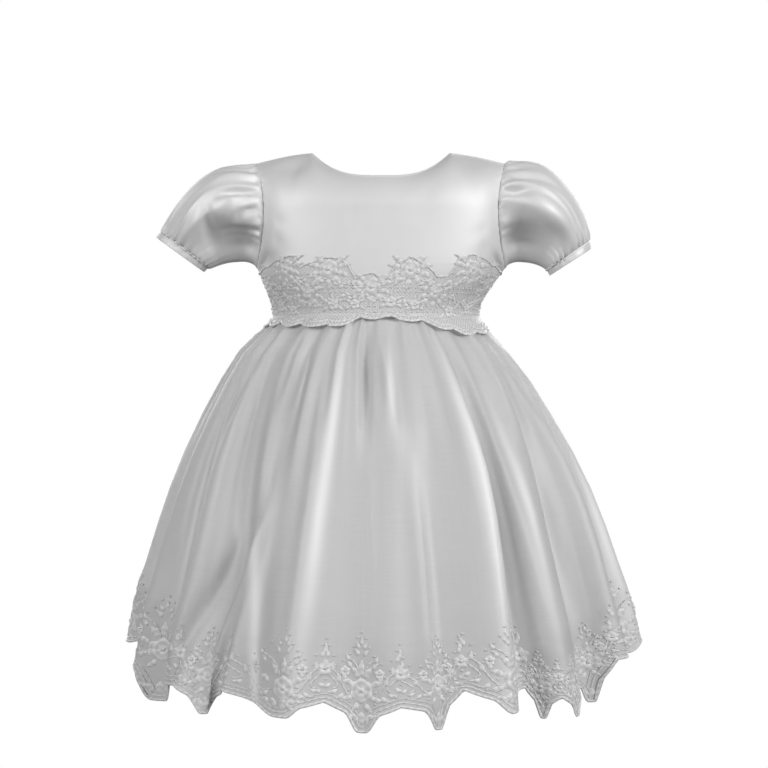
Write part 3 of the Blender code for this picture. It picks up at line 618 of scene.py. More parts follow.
# Creases and folds that both layers share, from the waist's end to the hem's end of each.
SKIRT_LINES = np.array([  # from degrees and share, to degrees and share, width, depth, peak
    (-68, 0.04, -62, 1.1, 8, 4, 0.5),
    (-79, 0.06, -75, 1.1, 7, -4.5, 0.5),
    (-50, 0.02, -41, 0.8, 7, -5.5, 0.4),
    (-40, 0.02, -31, 0.8, 9, 4, 0.6),
    (-35, 0.45, -61, 1.29, 9, -8, 0.6),
    (-27, 0.45, -52, 1.29, 9, 9, 0.6),
    (-28, 0.3, -40, 1.5, 12, 12, 0.7),
    (-35, 0.01, -37, 0.3, 4, -2, 0.35),
    (-28.5, 0.01, -31, 0.42, 5.5, -5, 0.35),
    (-21.5, 0.02, -26, 0.5, 6, 3, 0.35),
    (-16, 0.01, -20, 1.25, 8, 4, 0.45),
    (-3, 0.01, -4.5, 0.44, 6, -5, 0.35),
    (4, 0.02, 5.5, 0.4, 6, 3, 0.4),
    (11, 0.01, 10, 0.34, 5, -2, 0.35),
    (9.5, 0.3, 9.5, 1.4, 10, 7, 0.4),
    (29, 0.02, 25.5, 1.25, 8, 8, 0.35),
    (32.5, 0.02, 32.8, 1.2, 3.6, -3.8, 0.45),
    (37.5, 0.02, 38.5, 1.1, 6, 4.5, 0.45),
    (47, 0.01, 47.5, 0.3, 3.4, -2, 0.35),
    (55, 0.04, 50.5, 1.15, 6.5, -6, 0.45),
    (67, 0.06, 60, 1.2, 8, 4.5, 0.5),
    (82, 0.06, 74, 1.2, 7, -3, 0.45),
    (-2.6, 0.4, -2, 0.92, 1.5, -1.2, 0.5),
    (101, 0.03, 106, 1.15, 7, -5.5, 0.4),
    (109, 0.03, 116, 1.15, 5.6, 4.7, 0.5),
    (120, 0.02, 122, 0.5, 4.8, -4.9, 0.35),
    (127, 0.03, 129, 1.15, 8, -4.4, 0.5),
    (136, 0.02, 138, 1.15, 5, 5.7, 0.45),
    (148, 0.03, 146, 1.15, 7.5, -6, 0.5),
    (157, 0.02, 154, 0.46, 4.6, 3.6, 0.35),
    (163, 0.02, 167, 1.15, 8, -4.7, 0.5),
    (171, 0.02, 174, 0.62, 5.5, 3.9, 0.4),
    (188, 0.02, 185, 1.15, 7.5, -5.2, 0.45),
    (197, 0.02, 194, 1.15, 5, 5.5, 0.5),
    (204, 0.03, 205, 1.15, 8, -5.7, 0.5),
    (213, 0.02, 216, 0.52, 4.6, 4.4, 0.35),
    (225, 0.03, 222, 1.15, 7.5, -4.9, 0.5),
    (234, 0.02, 232, 0.9, 5.5, 4.2, 0.4),
    (244, 0.03, 241, 1.15, 7, -5.5, 0.4),
    (255, 0.05, 251, 1.1, 7, 3.6, 0.5),
])
# Softer folds of the underskirt alone.
UNDERSKIRT_LINES = np.array([
    (-66, 0.05, -60, 1.1, 12, -2.5, 0.6),
    (-30, 0.04, -33, 1.1, 10, -3, 0.5),
    (-6, 0.03, -2, 1.1, 14, -2.5, 0.6),
    (10, 0.03, 17, 1.1, 12, -2.5, 0.6),
    (44, 0.05, 48, 1.1, 10, -3, 0.6),
    (70, 0.05, 68, 1.1, 11, -2.5, 0.5),
    (96, 0.05, 100, 1.1, 12, -2.5, 0.6),
    (121, 0.05, 122, 1.1, 11, -2.5, 0.5),
    (146, 0.05, 150, 1.1, 13, -2.5, 0.6),
    (176, 0.05, 178, 1.1, 12, -2.5, 0.6),
    (205, 0.05, 208, 1.1, 13, -2.5, 0.5),
    (233, 0.05, 230, 1.1, 12, -2.5, 0.6),
    (258, 0.05, 254, 1.1, 11, -2.5, 0.6),
])


def skirt_section(share):
    """The skirt table's values at a share of the fall, from the waist, 0, to the hem, 1."""
    return (np.interp(share, SKIRT[:, 0], column) for column in SKIRT[:, 1:].T)


def within_turn(deg, first):
    """Degrees, brought to within one turn past the first."""
    return (deg - first) % 360.0 + first


def interval(edges, at):
    """The number of the interval between rising edges that holds each value."""
    return np.clip(np.searchsorted(edges, at, side="right") - 1, 0, len(edges) - 2)


def fold_wave(theta, share):
    """The large folds from -1 to 1: cosine steps from crest to valley to crest, which lean round
    by their drift towards the waist."""
    angles = np.append(FOLDS[:, [0, 3]].ravel(), FOLDS[0, 0] + 360.0)
    heights = np.append((FOLDS[:, [1, 4]] * np.array([1.0, -1.0])).ravel(), FOLDS[0, 1])
    drifts = np.append(FOLDS[:, [2, 5]].ravel(), FOLDS[0, 2])
    at = within_turn(np.degrees(theta), angles[0])
    at = at - np.interp(at, angles, drifts) * (1.0 - smooth(share / 0.65))
    at = within_turn(at, angles[0])
    i = interval(angles, at)
    step = (at - angles[i]) / (angles[i + 1] - angles[i])
    return heights[i] + (heights[i + 1] - heights[i]) * (1.0 - np.cos(math.pi * step)) / 2.0


def falls(theta, share, lines):
    """Troughs and ridges that fall down a skirt: the sum of a swell along each line, which runs
    between two angles as the share grows and widens on the way."""
    half_width, half_depth, *_ = skirt_section(share)
    mm_per_degree = np.radians(np.hypot(half_width * np.cos(theta), half_depth * np.sin(theta)))
    at = within_turn(np.degrees(theta), -90.0)
    total = np.zeros(np.broadcast(theta, share).shape)
    for from_deg, from_share, to_deg, to_share, width, depth, peak in lines:
        t = (share - from_share) / (to_share - from_share)
        t_in = np.clip(t, 0.0, 1.0)
        side = (at - from_deg - (to_deg - from_deg) * t_in) * mm_per_degree
        total = total + swell(t, side, width * (0.55 + 0.65 * t_in), depth, peak)
    return total


def notch_fall(theta):
    """The length from the waist to the hem's notches: a high power of the sine shortens the sides."""
    return FRONT_FALL + (SIDE_FALL - FRONT_FALL) * np.abs(np.sin(theta)) ** 7


def underskirt_form(theta, share):
    """An oval that widens by the table, inside the overlay's gathers and the valleys of its folds."""
    width, depth, gather, fold, shift = skirt_section(share)
    clear = SKIRT_SOLID_WALL + 0.5 + smooth(share / 0.04) + 3.0 * smooth(share / 0.3)
    out = 0.5 * fold * fold_wave(theta, share) - gather - 0.55 * fold - clear
    drop = SKIRT_TOP_DROP + notch_fall(theta) * share
    return shift + (width + out) * np.sin(theta), -(depth + out) * np.cos(theta), drop


def skirt_points(form, theta, share, stand):
    """Points in metres on a skirt's form, lifted along its normal by stand in millimetres."""
    out = outward(lambda a, b: form(a, -b), theta, -np.clip(share, 0.01, 0.99), 0.012, 0.01)
    return placed(*form(theta, share)) + out * stand[..., None] * MM


def underskirt_cloth(theta, share):
    """The underskirt's points: its own folds, fine waist gathers, side seams and a turned hem."""
    gathers = np.cos(2.0 * GATHERS * theta + 1.2 * np.sin(5.0 * theta)) * np.exp(-share / 0.05)
    stand = falls(theta, share, UNDERSKIRT_LINES) + 0.4 * gathers * smooth(share / 0.01)
    stand = stand + 0.55 * falls(theta, share, SKIRT_LINES) * smooth(share / 0.05)
    seam = np.degrees(np.abs(np.arctan2(np.cos(theta), np.sin(theta)))) % 180.0
    from_seam = np.radians(np.minimum(seam, 180.0 - seam)) * UNDERSKIRT_MEAN_RADIUS
    stand = stand + seam_groove(from_seam, share * FRONT_FALL)
    from_hem = (UNDERSKIRT_END - share) * FRONT_FALL
    stand = stand + 0.35 * smooth((UNDERSKIRT_HEM - from_hem) / 1.5)
    stand = stand - 0.4 * bell((from_hem - UNDERSKIRT_HEM - 0.5) / 0.9)
    return skirt_points(underskirt_form, theta, share, stand)


under_satin = duchesse_satin("underskirt_satin", "#e4e4e4", "#dddddd", 0.36)
hang_rows = UNDERSKIRT_END * np.linspace(0.0, 1.0, 74) ** 1.2
under_shares = with_edges(hang_rows, 1.0 / FRONT_FALL)[::-1, None]
for name, start in (("front", -90.0), ("back", 90.0)):
    columns = with_edges(np.linspace(start + 0.05, start + 179.95, 138), 0.4)
    cloth = underskirt_cloth(np.radians(columns)[None, :], under_shares)
    cloth = grid_mesh(name + "_underskirt_satin", cloth)
    sewn(cloth, under_satin, ["underskirt_" + name], SATIN_WALL)


# ------------------------------------------------------------------ organza overlay
# Sheer silk-look organza, gathered into the waist: a front and two backs with a centre seam. It
# stands off the satin in long folds, with fine streaks from the gathers, and its scalloped edge
# hangs below the underskirt.
HEM = np.array([  # notch in degrees and its drop, then the tip of the scallop after it
    (-98, 402, -87, 413),
    (-76, 411, -64.5, 450),
    (-50, 428, -43.5, 449),
    (-36.5, 429, -20, 441.5),
    (-12, 430, -4.5, 453),
    (3.7, 434, 12, 452.5),
    (17, 423, 27, 440),
    (33.5, 427, 36.8, 450),
    (39.6, 434, 43.5, 449.5),
    (49, 436, 56.5, 447),
    (60.5, 414, 75, 417.5),
    (88, 402, 98, 417),
    (108, 406, 117, 425),
    (126, 415, 134, 434),
    (142, 424, 150, 443),
    (158, 428, 166, 448),
    (174, 430, 182, 449),
    (190, 429, 198, 447),
    (206, 426, 214, 442),
    (222, 418, 230, 435),
    (238, 410, 244, 426),
    (250, 404, 256, 417),
])
SEAM_DEGREES = (-90.0, 90.0, 180.0)
WAIST_RADIUS = 80.0
LOBE_FROM = 0.84  # the share of the fall where it begins to stretch to the scalloped edge
BORDER_FROM = 0.86  # and where the darned ground of the border begins


def hem_drop(theta):
    """The scalloped edge: shallow arches between the notches, each with a round lobe at its tip."""
    notch_deg, notch_drop, tip_deg, tip_drop = HEM.T
    starts = np.append(notch_deg, notch_deg[0] + 360.0)
    bases = np.append(notch_drop, notch_drop[0])
    at = within_turn(np.degrees(theta), starts[0])
    i = interval(starts, at)
    base = bases[i] + (bases[i + 1] - bases[i]) * (at - starts[i]) / (starts[i + 1] - starts[i])
    before = (at - starts[i]) / (tip_deg[i] - starts[i])
    after = (starts[i + 1] - at) / (starts[i + 1] - tip_deg[i])
    near = np.minimum(before, after)
    rounded = 0.45 * np.sin(near * math.pi / 2.0) + 0.55 * smooth((near - 0.5) / 0.38)
    return base + (tip_drop[i] - base) * rounded


def overlay_form(theta, share):
    """An oval that widens by the table and stands out in the large folds. The end of its fall
    stretches to the scalloped edge."""
    width, depth, _, fold, shift = skirt_section(share)
    out = fold * fold_wave(theta, share)
    drop = SKIRT_TOP_DROP + notch_fall(theta) * share
    lobe = hem_drop(theta) - SKIRT_TOP_DROP - notch_fall(theta)
    drop = drop + lobe * smooth((share - LOBE_FROM) / (1.0 - LOBE_FROM))
    return shift + (width + out) * np.sin(theta), -(depth + out) * np.cos(theta), drop


def overlay_detail(theta, share):
    """Gathers whose spacing, strength and length wander, the long creases, and the seams.

    A gather is a wave round the waist with a finer one between its crests, as deep as the table
    says and fading out down the skirt.
    """
    half_width, _, gather, _, _ = skirt_section(share)
    phase = GATHERS * theta + 1.5 * np.sin(5.0 * theta + 0.7) + 1.1 * np.sin(9.0 * theta + 2.1)
    strength = 0.8 + 0.35 * np.sin(7.0 * theta + 1.0) * smooth(share / 0.06)
    fine = np.cos(2.0 * phase + 1.7 * np.sin(4.0 * theta)) * np.exp(-share / 0.06)
    stand = gather * (strength * -np.cos(phase) + 0.35 * fine)
    stand = stand + 0.8 * np.sin(1.6 * phase + 3.0 * np.sin(3.0 * theta)) * bell((share - 0.2) / 0.16)
    stand = stand + falls(theta, share, SKIRT_LINES) * smooth(share / 0.05)
    at = within_turn(np.degrees(theta), -100.0)
    for seam in SEAM_DEGREES:
        off = np.minimum(np.abs(at - seam), np.abs(at - seam - 360.0))
        stand = stand + seam_groove(np.radians(off) * half_width, share * FRONT_FALL, 0.8)
    return stand + seam_groove(share * FRONT_FALL, theta * WAIST_RADIUS, WAIST_GROOVE)


def overlay_cloth(theta, share, stand=0.0):
    """Points in metres of the overlay, lifted by stand off its finished surface."""
    return skirt_points(overlay_form, theta, share, overlay_detail(theta, share) + stand)


def embroidered_organza():
    """Organza: a plain weave of fine twisted filament, crisp and sheer, with a few thicker ends.

    The threads are 0.25 mm apart in the real cloth. They are drawn 0.8 mm apart, so that they
    show. The border's ground is less sheer where it is darned with thread, and darker as painted
    shade. Where the folds lie double along the crests of the long creases, the cloth is less
    sheer, and lighter as a painted highlight.
    """
    tree, shader, made = new_material("silk_organza")
    uv = node(tree, "UVMap", {"uv_map": "cloth"})
    weave = node(tree, "Math", {"operation": "ADD"})
    for socket, (across, along) in enumerate(((0.8, 60), (40, 0.8))):
        scale = (1 / (across * MM), 1 / (along * MM), 1.0)
        way = node(tree, "Mapping", {"Scale": scale}, {"Vector": (uv, "UV")})
        threads = node(tree, "TexNoise", {"Scale": 1.0, "Detail": 1.0}, {"Vector": (way, "Vector")})
        tree.links.new(threads.outputs["Fac"], weave.inputs[socket])
    border = node(tree, "Attribute", {"attribute_name": "border"})
    darned = node(tree, "MapRange", {"To Min": 0.48, "To Max": 0.86}, {"Value": (border, "Fac")})
    uneven = node(tree, "MapRange", {"From Min": 0.6, "From Max": 1.4, "To Min": -0.018, "To Max": 0.018},
                  {"Value": (weave, "Value")})
    single = node(tree, "Math", {"operation": "ADD", "use_clamp": True},
                  {0: (darned, "Result"), 1: (uneven, "Result")})
    # Painted highlight: along the fold crests, where the organza lies double, the cloth is less sheer and
    # drawn near white.
    double_with_highlight = node(tree, "Attribute", {"attribute_name": "doubled_with_painted_highlight"})
    layers = node(tree, "Math", {"operation": "MULTIPLY_ADD", 1: 0.34},
                  {0: (double_with_highlight, "Fac"), 2: (single, "Value")})
    # Painted shade: the border's ground is drawn a darker grey for the shade of the hem's lobes, as well as
    # denser for its darning.
    plain = {"data_type": "RGBA", FIRST_COLOUR: srgb("#e2e2e2"), LAST_COLOUR: srgb("#cecece")}
    ground_with_painted_shade = node(tree, "Mix", plain, {"Factor": (border, "Fac")})
    # The painted highlight: the colour goes to near white along the fold crests.
    colour = node(tree, "Mix", {"data_type": "RGBA", LAST_COLOUR: srgb("#fafafa")},
                  {"Factor": (double_with_highlight, "Fac"), FIRST_COLOUR: (ground_with_painted_shade, MIXED)})
    bump = node(tree, "Bump", {"Strength": 0.07, "Distance": 0.06 * MM}, {"Height": (weave, "Value")})
    wire(tree, shader, {"Roughness": 0.42, "Sheen Weight": 0.5, "Sheen Roughness": 0.4},
         {"Base Color": (colour, MIXED), "Alpha": (layers, "Value"), "Normal": (bump, "Normal")})
    return made


# Painted highlights along the crests of the long creases, where the folds of the organza also lie double
# and are less sheer.
DOUBLED_WITH_PAINTED_HIGHLIGHT = np.array([
    (-11.5, -0.1, -19, 1.25, 6, 1, 0.35),
    (7, 0.02, 3.5, 0.4, 4, 0.9, 0.4),
    (29, -0.1, 25, 1.25, 7.5, 1, 0.35),
    (42, 0.1, 41, 0.95, 4.5, 0.6, 0.5),
    (-33, 0.45, -25, 1.25, 5, 0.9, 0.5),
    (79, 0.05, 79, 1.2, 7, 0.8, 0.5),
    (-30, 0.02, -28, 0.4, 4, 0.6, 0.4),
    (-45, 0.1, -36, 0.8, 5, 0.4, 0.6),
    (-66, 0.1, -58, 1.2, 5, 0.4, 0.6),
    (106, 0.02, 109, 1.2, 5, 0.8, 0.5),
    (138, 0.02, 141, 1.2, 5, 0.7, 0.5),
    (164, 0.02, 161, 1.2, 5, 0.8, 0.5),
    (203, 0.02, 206, 1.2, 5, 0.8, 0.5),
    (232, 0.02, 228, 1.2, 5, 0.7, 0.5),
    (252, 0.02, 256, 1.2, 5, 0.8, 0.5),
])


def paint(piece, name, values):
    """Stores one number for each vertex of a piece under a name."""
    made = piece.data.attributes.new(name, "FLOAT", "POINT")
    made.data.foreach_set("value", np.asarray(values, np.float32).ravel())


organza = embroidered_organza()
overlay_rows = np.concatenate([0.3 * np.linspace(0.0, 1.0, 48) ** 1.3, np.linspace(0.3, LOBE_FROM, 44)[1:],
                               np.linspace(LOBE_FROM, 1.0, 30)[1:]])
overlay_rows = with_edges(overlay_rows, 1.0 / FRONT_FALL, high=False)[::-1, None]
OVERLAY_PANELS = (  # solid, degrees from and to, columns, width of the cut
    ("front", "skirt_front", -90, 90, 320, 0.64),
    ("left_back", "skirt_back_left", 90, 180, 154, 0.32),
    ("right_back", "skirt_back_right", 180, 270, 154, 0.32),
)
for name, solid, start, end, count, _ in OVERLAY_PANELS:
    theta = np.radians(with_edges(np.linspace(start + 0.03, end - 0.03, count), 0.35))[None, :]
    cloth = grid_mesh(name + "_skirt_organza", overlay_cloth(theta, overlay_rows))
    # The border's mask: a denser darned ground, with painted shade that darkens its colour.
    paint(cloth, "border", smooth((overlay_rows - BORDER_FROM) / 0.05) * np.ones_like(theta))
    # Painted highlights along the fold crests, where the organza lies double.
    paint(cloth, "doubled_with_painted_highlight", np.clip(falls(theta, overlay_rows, DOUBLED_WITH_PAINTED_HIGHLIGHT), 0.0, 1.0))
    sewn(cloth, organza, [solid], ORGANZA_WALL)


# ------------------------------------------------------------------ embroidery of the hem
# A border worked in rayon thread on the organza: cords along the scalloped edge, a padded spray in
# each lobe, and above each scallop a large flower with leaves, whose scrolling stems run up to a
# smaller flower over each notch. Seed stitches fill the ground.
HEM_LIFT = 0.05
HEM_MM_PER_DEGREE = 3.2  # near enough for a cord's direction and its inset
FULL_SCALLOP = 46.0 / 3.3  # degrees between the notches where motifs have their full size
BORDER_OVAL = (203.0, 172.0)
EDGE_CORDS = ((1.0, 2.1, 0.9), (4.2, 1.1, 0.5), (7.0, 0.9, 0.45))  # inset, width and height

# Leaves of one scallop: across from its tip, 0, to a notch, 1, and up from the arch line. The
# table is for one half, and each row between the two has a mirrored twin.
BORDER_LEAVES = np.array([  # across, up, turn in degrees, length, width, bend
    (0, 21, 90, 11, 4.4, 0),
    (0.1, 19.5, 58, 9.5, 4, 0.9),
    (0.22, 14.5, 22, 9.5, 4, 1),
    (0.22, 8.5, -12, 9, 3.8, -1),
    (0.1, 4, -52, 7.5, 3.6, -0.8),
    (0.46, 16.5, 62, 7, 3.2, 0.8),
    (0.5, 8, -30, 6.5, 3, -0.8),
    (0.64, 14.5, 78, 6.5, 3, 0.7),
    (0.66, 9.5, -8, 6.5, 3, -0.7),
    (0.84, 21, 100, 6, 2.8, 0.6),
    (0.84, 13, -20, 6, 2.8, -0.6),
    (0.08, 34, 55, 6, 2.6, 0.6),
    (0.07, 38.5, 62, 5, 2.3, 0.5),
    (0, 41, 90, 5.6, 2.4, 0),
    (0.3, 26, 48, 6, 2.6, 0.7),
    (0.38, 30, 70, 5, 2.3, 0.5),
    (0.92, 29, 68, 6.4, 2.8, 0.5),
    (1, 31, 90, 7, 2.8, 0),
])
LOBE_LEAVES = np.array([  # the same, but up from the tip of the lobe
    (0, 5.5, 90, 9, 5, 0),
    (0.09, 6.5, 48, 8, 3.6, 0.8),
    (0.2, 9.5, 12, 7, 3.2, 0.8),
])
BORDER_FLOWERS = np.array([  # across, up, radius, petals
    (0, 12, 8.6, 6),
    (1, 22, 5.6, 5),
    (0.47, 22.5, 3.6, 5),
    (-0.47, 22.5, 3.6, 5),
])
SEEDS = np.array([  # across and up
    (0, 28.5), (0.15, 27.5), (0.34, 35), (0.52, 29), (0.6, 20.5), (0.74, 25), (0.72, 4.5),
    (0.58, 3), (0.36, 4), (0.36, 11.5), (0.88, 7), (1, 11), (1, 15), (0.78, 31),
    (0.22, 40), (0.12, 46), (0, 49.5), (1, 41), (0.92, 37),
])


def share_at(theta, drop):
    """The share of the overlay's fall that lies at a drop, by halving the range that holds it."""
    low, high = np.zeros_like(drop), np.ones_like(drop)
    for _ in range(16):
        middle = (low + high) / 2.0
        above = overlay_form(theta, middle)[2] < drop
        low, high = np.where(above, middle, low), np.where(above, high, middle)
    return (low + high) / 2.0


def pad_grid(margin, along):
    """Shares along a pad, from margin to 1 - margin, as a column, and across it, -1 to 1, as a row."""
    return np.linspace(margin, 1.0 - margin, along)[:, None], np.linspace(-1.0, 1.0, 5)[None, :]


def leaf_pad():
    """A padded leaf of unit length and width: its outline is a sine, and its height is domed with
    a groove down the middle vein. Gives distance along, distance across and height."""
    t, c = pad_grid(0.01, 9)
    outline = np.sin(math.pi * t**0.8) ** 0.8
    height = (1.0 - c**2) * np.sin(math.pi * t) ** 0.6 * (1.0 - 0.45 * bell(c / 0.22))
    return t, c * outline / 2.0, height


def petal_pad():
    """A padded petal, narrow at the flower's middle and round outside, highest near its end."""
    t, c = pad_grid(0.02, 7)
    outline = np.sin(math.pi * t**1.4) ** 0.65
    height = (1.0 - c**2) * (0.4 + 0.6 * t) * np.sin(math.pi * t) ** 0.5
    return t, c * outline / 2.0, height


def dot_pad():
    """A round padded dot: rings out from its middle under half a sphere."""
    r, a = np.linspace(0.02, 1.0, 4)[:, None], np.linspace(0.0, 2.0 * math.pi, 11)[None, :]
    return r * np.cos(a) / 2.0, r * np.sin(a) / 2.0, np.sqrt(np.maximum(1.0 - r**2, 0.0))


def stitched(pad, middle_deg, middle_drop, turn_deg, length, width, height, bend=0.0):
    """Many copies of a pad, turned from level by turn_deg, as angle, drop and height arrays.

    Each is bent sideways by bend at half its length, then its millimetres to the right become
    degrees by the girth there, and its millimetres up are taken from the drop.
    """
    t, side, high = pad
    middle_deg, middle_drop, turn_deg, length, width, height, bend = np.broadcast_arrays(*(
        np.atleast_1d(np.asarray(v, float))[:, None, None]
        for v in (middle_deg, middle_drop, turn_deg, length, width, height, bend)))
    x = length * t
    y = width * side + bend * 4.0 * t * (1.0 - t)
    turn = np.radians(turn_deg)
    right = x * np.cos(turn) - y * np.sin(turn)
    up = x * np.sin(turn) + y * np.cos(turn)
    return middle_deg, right, middle_drop - up, height * high


def cord_strip(deg, drop, width, height, across=5):
    """Raised cords along lines of angles and drops, one line a row. Its half-round section stands
    across the line, whose direction comes from the steps between neighbouring points."""
    deg, drop = np.atleast_2d(deg), np.atleast_2d(drop)
    step_x, step_y = np.gradient(deg, axis=1) * HEM_MM_PER_DEGREE, -np.gradient(drop, axis=1)
    size = np.maximum(np.hypot(step_x, step_y), 1e-9)
    c = np.linspace(-1.0, 1.0, across)
    right = (-step_y / size)[..., None] * c * width / 2.0
    up = (step_x / size)[..., None] * c * width / 2.0
    deg = np.repeat(deg[..., None], across, axis=2)
    return deg, right, drop[..., None] - up, height * (1.0 - c**2) + 0.0 * deg


def sew_on(name, groups, cloth_at, millimetres_per_degree, finish):
    """One mesh of all groups of pads and cords, laid on a cloth. Its UV map runs along and across
    each pad, in metres, for the threads."""
    points, quads, uvs, first = [], [], [], 0
    for deg, right, drop, high in groups:
        theta = np.radians(deg + right / millimetres_per_degree(np.radians(deg)))
        laid = cloth_at(theta, drop, high)
        copies, rows, columns = laid.shape[:3]
        index = first + np.arange(copies * rows * columns).reshape(copies, rows, columns)
        corners = (index[:, :-1, :-1], index[:, 1:, :-1], index[:, 1:, 1:], index[:, :-1, 1:])
        quads.append(np.stack(corners, axis=-1).reshape(-1, 4))
        points.append(laid.reshape(-1, 3))
        along = np.cumsum(np.linalg.norm(np.diff(laid, axis=1, prepend=laid[:, :1]), axis=-1), axis=1)
        side = np.cumsum(np.linalg.norm(np.diff(laid, axis=2, prepend=laid[:, :, :1]), axis=-1), axis=2)
        uvs.append(np.stack([along, side], axis=-1).reshape(-1, 2))
        first += copies * rows * columns
    points, quads, uvs = (np.concatenate(part) for part in (points, quads, uvs))
    edge_a = points[quads[:, 1]] - points[quads[:, 0]]
    edge_b = points[quads[:, 3]] - points[quads[:, 0]]
    away = points[quads[:, 0]] * np.array([1.0, 1.0, 0.0])
    inward = np.einsum("ij,ij->i", np.cross(edge_a, edge_b), away) < 0.0
    quads[inward] = quads[inward][:, ::-1]
    piece = mesh_piece(name, points, quads, "thread", uvs[quads.ravel()])
    sewn(piece, finish)
    return piece


def rayon_thread():
    """Machine embroidery in bright rayon thread: close parallel stitches with a silky gloss.

    The stitches are 0.4 mm apart in the real thread, across each petal, leaf and cord. They are
    drawn as soft bands 5 mm apart, so that they show. A wave node's bands are 2 pi / 20 / scale
    apart.
    """
    tree, shader, made = new_material("rayon_thread")
    uv = node(tree, "UVMap", {"uv_map": "thread"})
    bands = {"wave_type": "BANDS", "bands_direction": "X", "Scale": 62.5}
    stitches = node(tree, "TexWave", {**bands, "Distortion": 1.2, "Detail": 1.0}, {"Vector": (uv, "UV")})
    bump = node(tree, "Bump", {"Strength": 0.5, "Distance": 0.12 * MM}, {"Height": (stitches, "Fac")})
    shades = {"data_type": "RGBA", FIRST_COLOUR: srgb("#cacaca"), LAST_COLOUR: srgb("#e0e0e0")}
    colour = node(tree, "Mix", shades, {"Factor": (stitches, "Fac")})
    wire(tree, shader, {"Roughness": 0.42, "Sheen Weight": 0.2},
         {"Base Color": (colour, MIXED), "Normal": (bump, "Normal")})
    return made


def round_oval(half_width, half_depth):
    """A function that gives the millimetres to a degree at an angle round an oval."""
    return lambda theta: np.radians(np.hypot(half_width * np.cos(theta), half_depth * np.sin(theta)))


def on_overlay(theta, drop, high):
    """Points on the overlay at an angle and drop, raised by the embroidery's height."""
    drop = np.minimum(drop, hem_drop(theta) - 0.05)
    return overlay_cloth(theta, share_at(theta, drop), high + HEM_LIFT)


def hem_arch(deg):
    """The drop of a line that joins the notches and sags a third of the way to each tip."""
    line = np.interp(deg, HEM[:, 0], HEM[:, 1], period=360.0)
    return line + 0.3 * np.clip(hem_drop(np.radians(deg)) - line, 0.0, 12.0)


def inset_line(start, end, inset):
    """Angles and drops of a line that keeps its distance inside the scalloped edge: each point
    moves along the edge's inward normal."""
    deg = np.linspace(start, end, int((end - start) * 5))
    drop = hem_drop(np.radians(deg))
    if inset > 2.0:
        near = bell(np.arange(-8, 9) / 4.0)
        drop = np.convolve(np.pad(drop, 8, mode="edge"), near / near.sum(), mode="valid")
    run, fall = np.gradient(deg) * HEM_MM_PER_DEGREE, np.gradient(drop)
    size = np.hypot(run, fall)
    deg = deg + fall / size * inset / HEM_MM_PER_DEGREE
    return np.clip(deg, start, end), drop - run / size * inset


def at_scallops(across, up, start, end, from_tip=False):
    """Where each scallop's copy of some motifs lies between two seams: angle, drop and size.

    Across runs from the tip to the notch on its side and up from the arch line or the tip. Both
    shrink with a narrow scallop, and a motif within 1.5 degrees of a seam is left out.
    """
    notch, tip = HEM[:, 0, None], HEM[:, 2, None]
    after = np.append(HEM[1:, 0], HEM[0, 0] + 360.0)[:, None]
    size = np.clip((after - notch) / FULL_SCALLOP, 0.7, 1.12) + 0.0 * across
    deg = tip + across * np.where(across > 0.0, after - tip, tip - notch)
    drop = (HEM[:, 3, None] if from_tip else hem_arch(deg)) - up * size
    deg = within_turn(deg, -90.0)
    inside = (deg > start + 1.5) & (deg < end - 1.5)
    return deg, drop, size, inside


def flowers(deg, drop, radius, petals, first_deg=90.0):
    """Padded petals round a dot, with small ones between them, for arrays of flowers."""
    deg, drop, radius = (np.atleast_1d(v)[:, None] for v in (deg, drop, radius))
    turns = first_deg + np.arange(petals) * 360.0 / petals
    deg, drop, radius, turns = (v.ravel() for v in np.broadcast_arrays(deg, drop, radius, turns))
    hearts = slice(None, None, petals)
    heart = radius[hearts] * 0.5
    return [stitched(petal_pad(), deg, drop, turns + 180.0 / petals, radius * 0.8, radius * 0.42, 0.7),
            stitched(petal_pad(), deg, drop, turns, radius, radius * 0.82, 1.1),
            stitched(dot_pad(), deg[hearts], drop[hearts], 0.0, heart, heart, 1.5)]


def with_twins(table, signs):
    """A table and its mirrored copy, by a sign for each column, of all rows that lie between the
    middle and the notch."""
    return np.concatenate([table, table[table[:, 0] * (1.0 - table[:, 0]) > 0.0] * np.array(signs)])


def leaves(table, start, end, from_tip=False):
    """Padded leaves of every scallop, with their mirrored twins."""
    paired = with_twins(table, (-1.0, 1.0, -1.0, 1.0, 1.0, -1.0))
    paired[len(table):, 2] += 180.0
    across, up, turn, length, width, bend = paired.T
    deg, drop, size, inside = at_scallops(across, up, start, end, from_tip)
    turn, length, width, bend = ((v + 0.0 * size)[inside] for v in (turn, length, width, bend))
    size = size[inside]
    length, width, bend = length * size, width * size, bend * size
    return stitched(leaf_pad(), deg[inside], drop[inside], turn, length, width, 0.9 * size, bend)


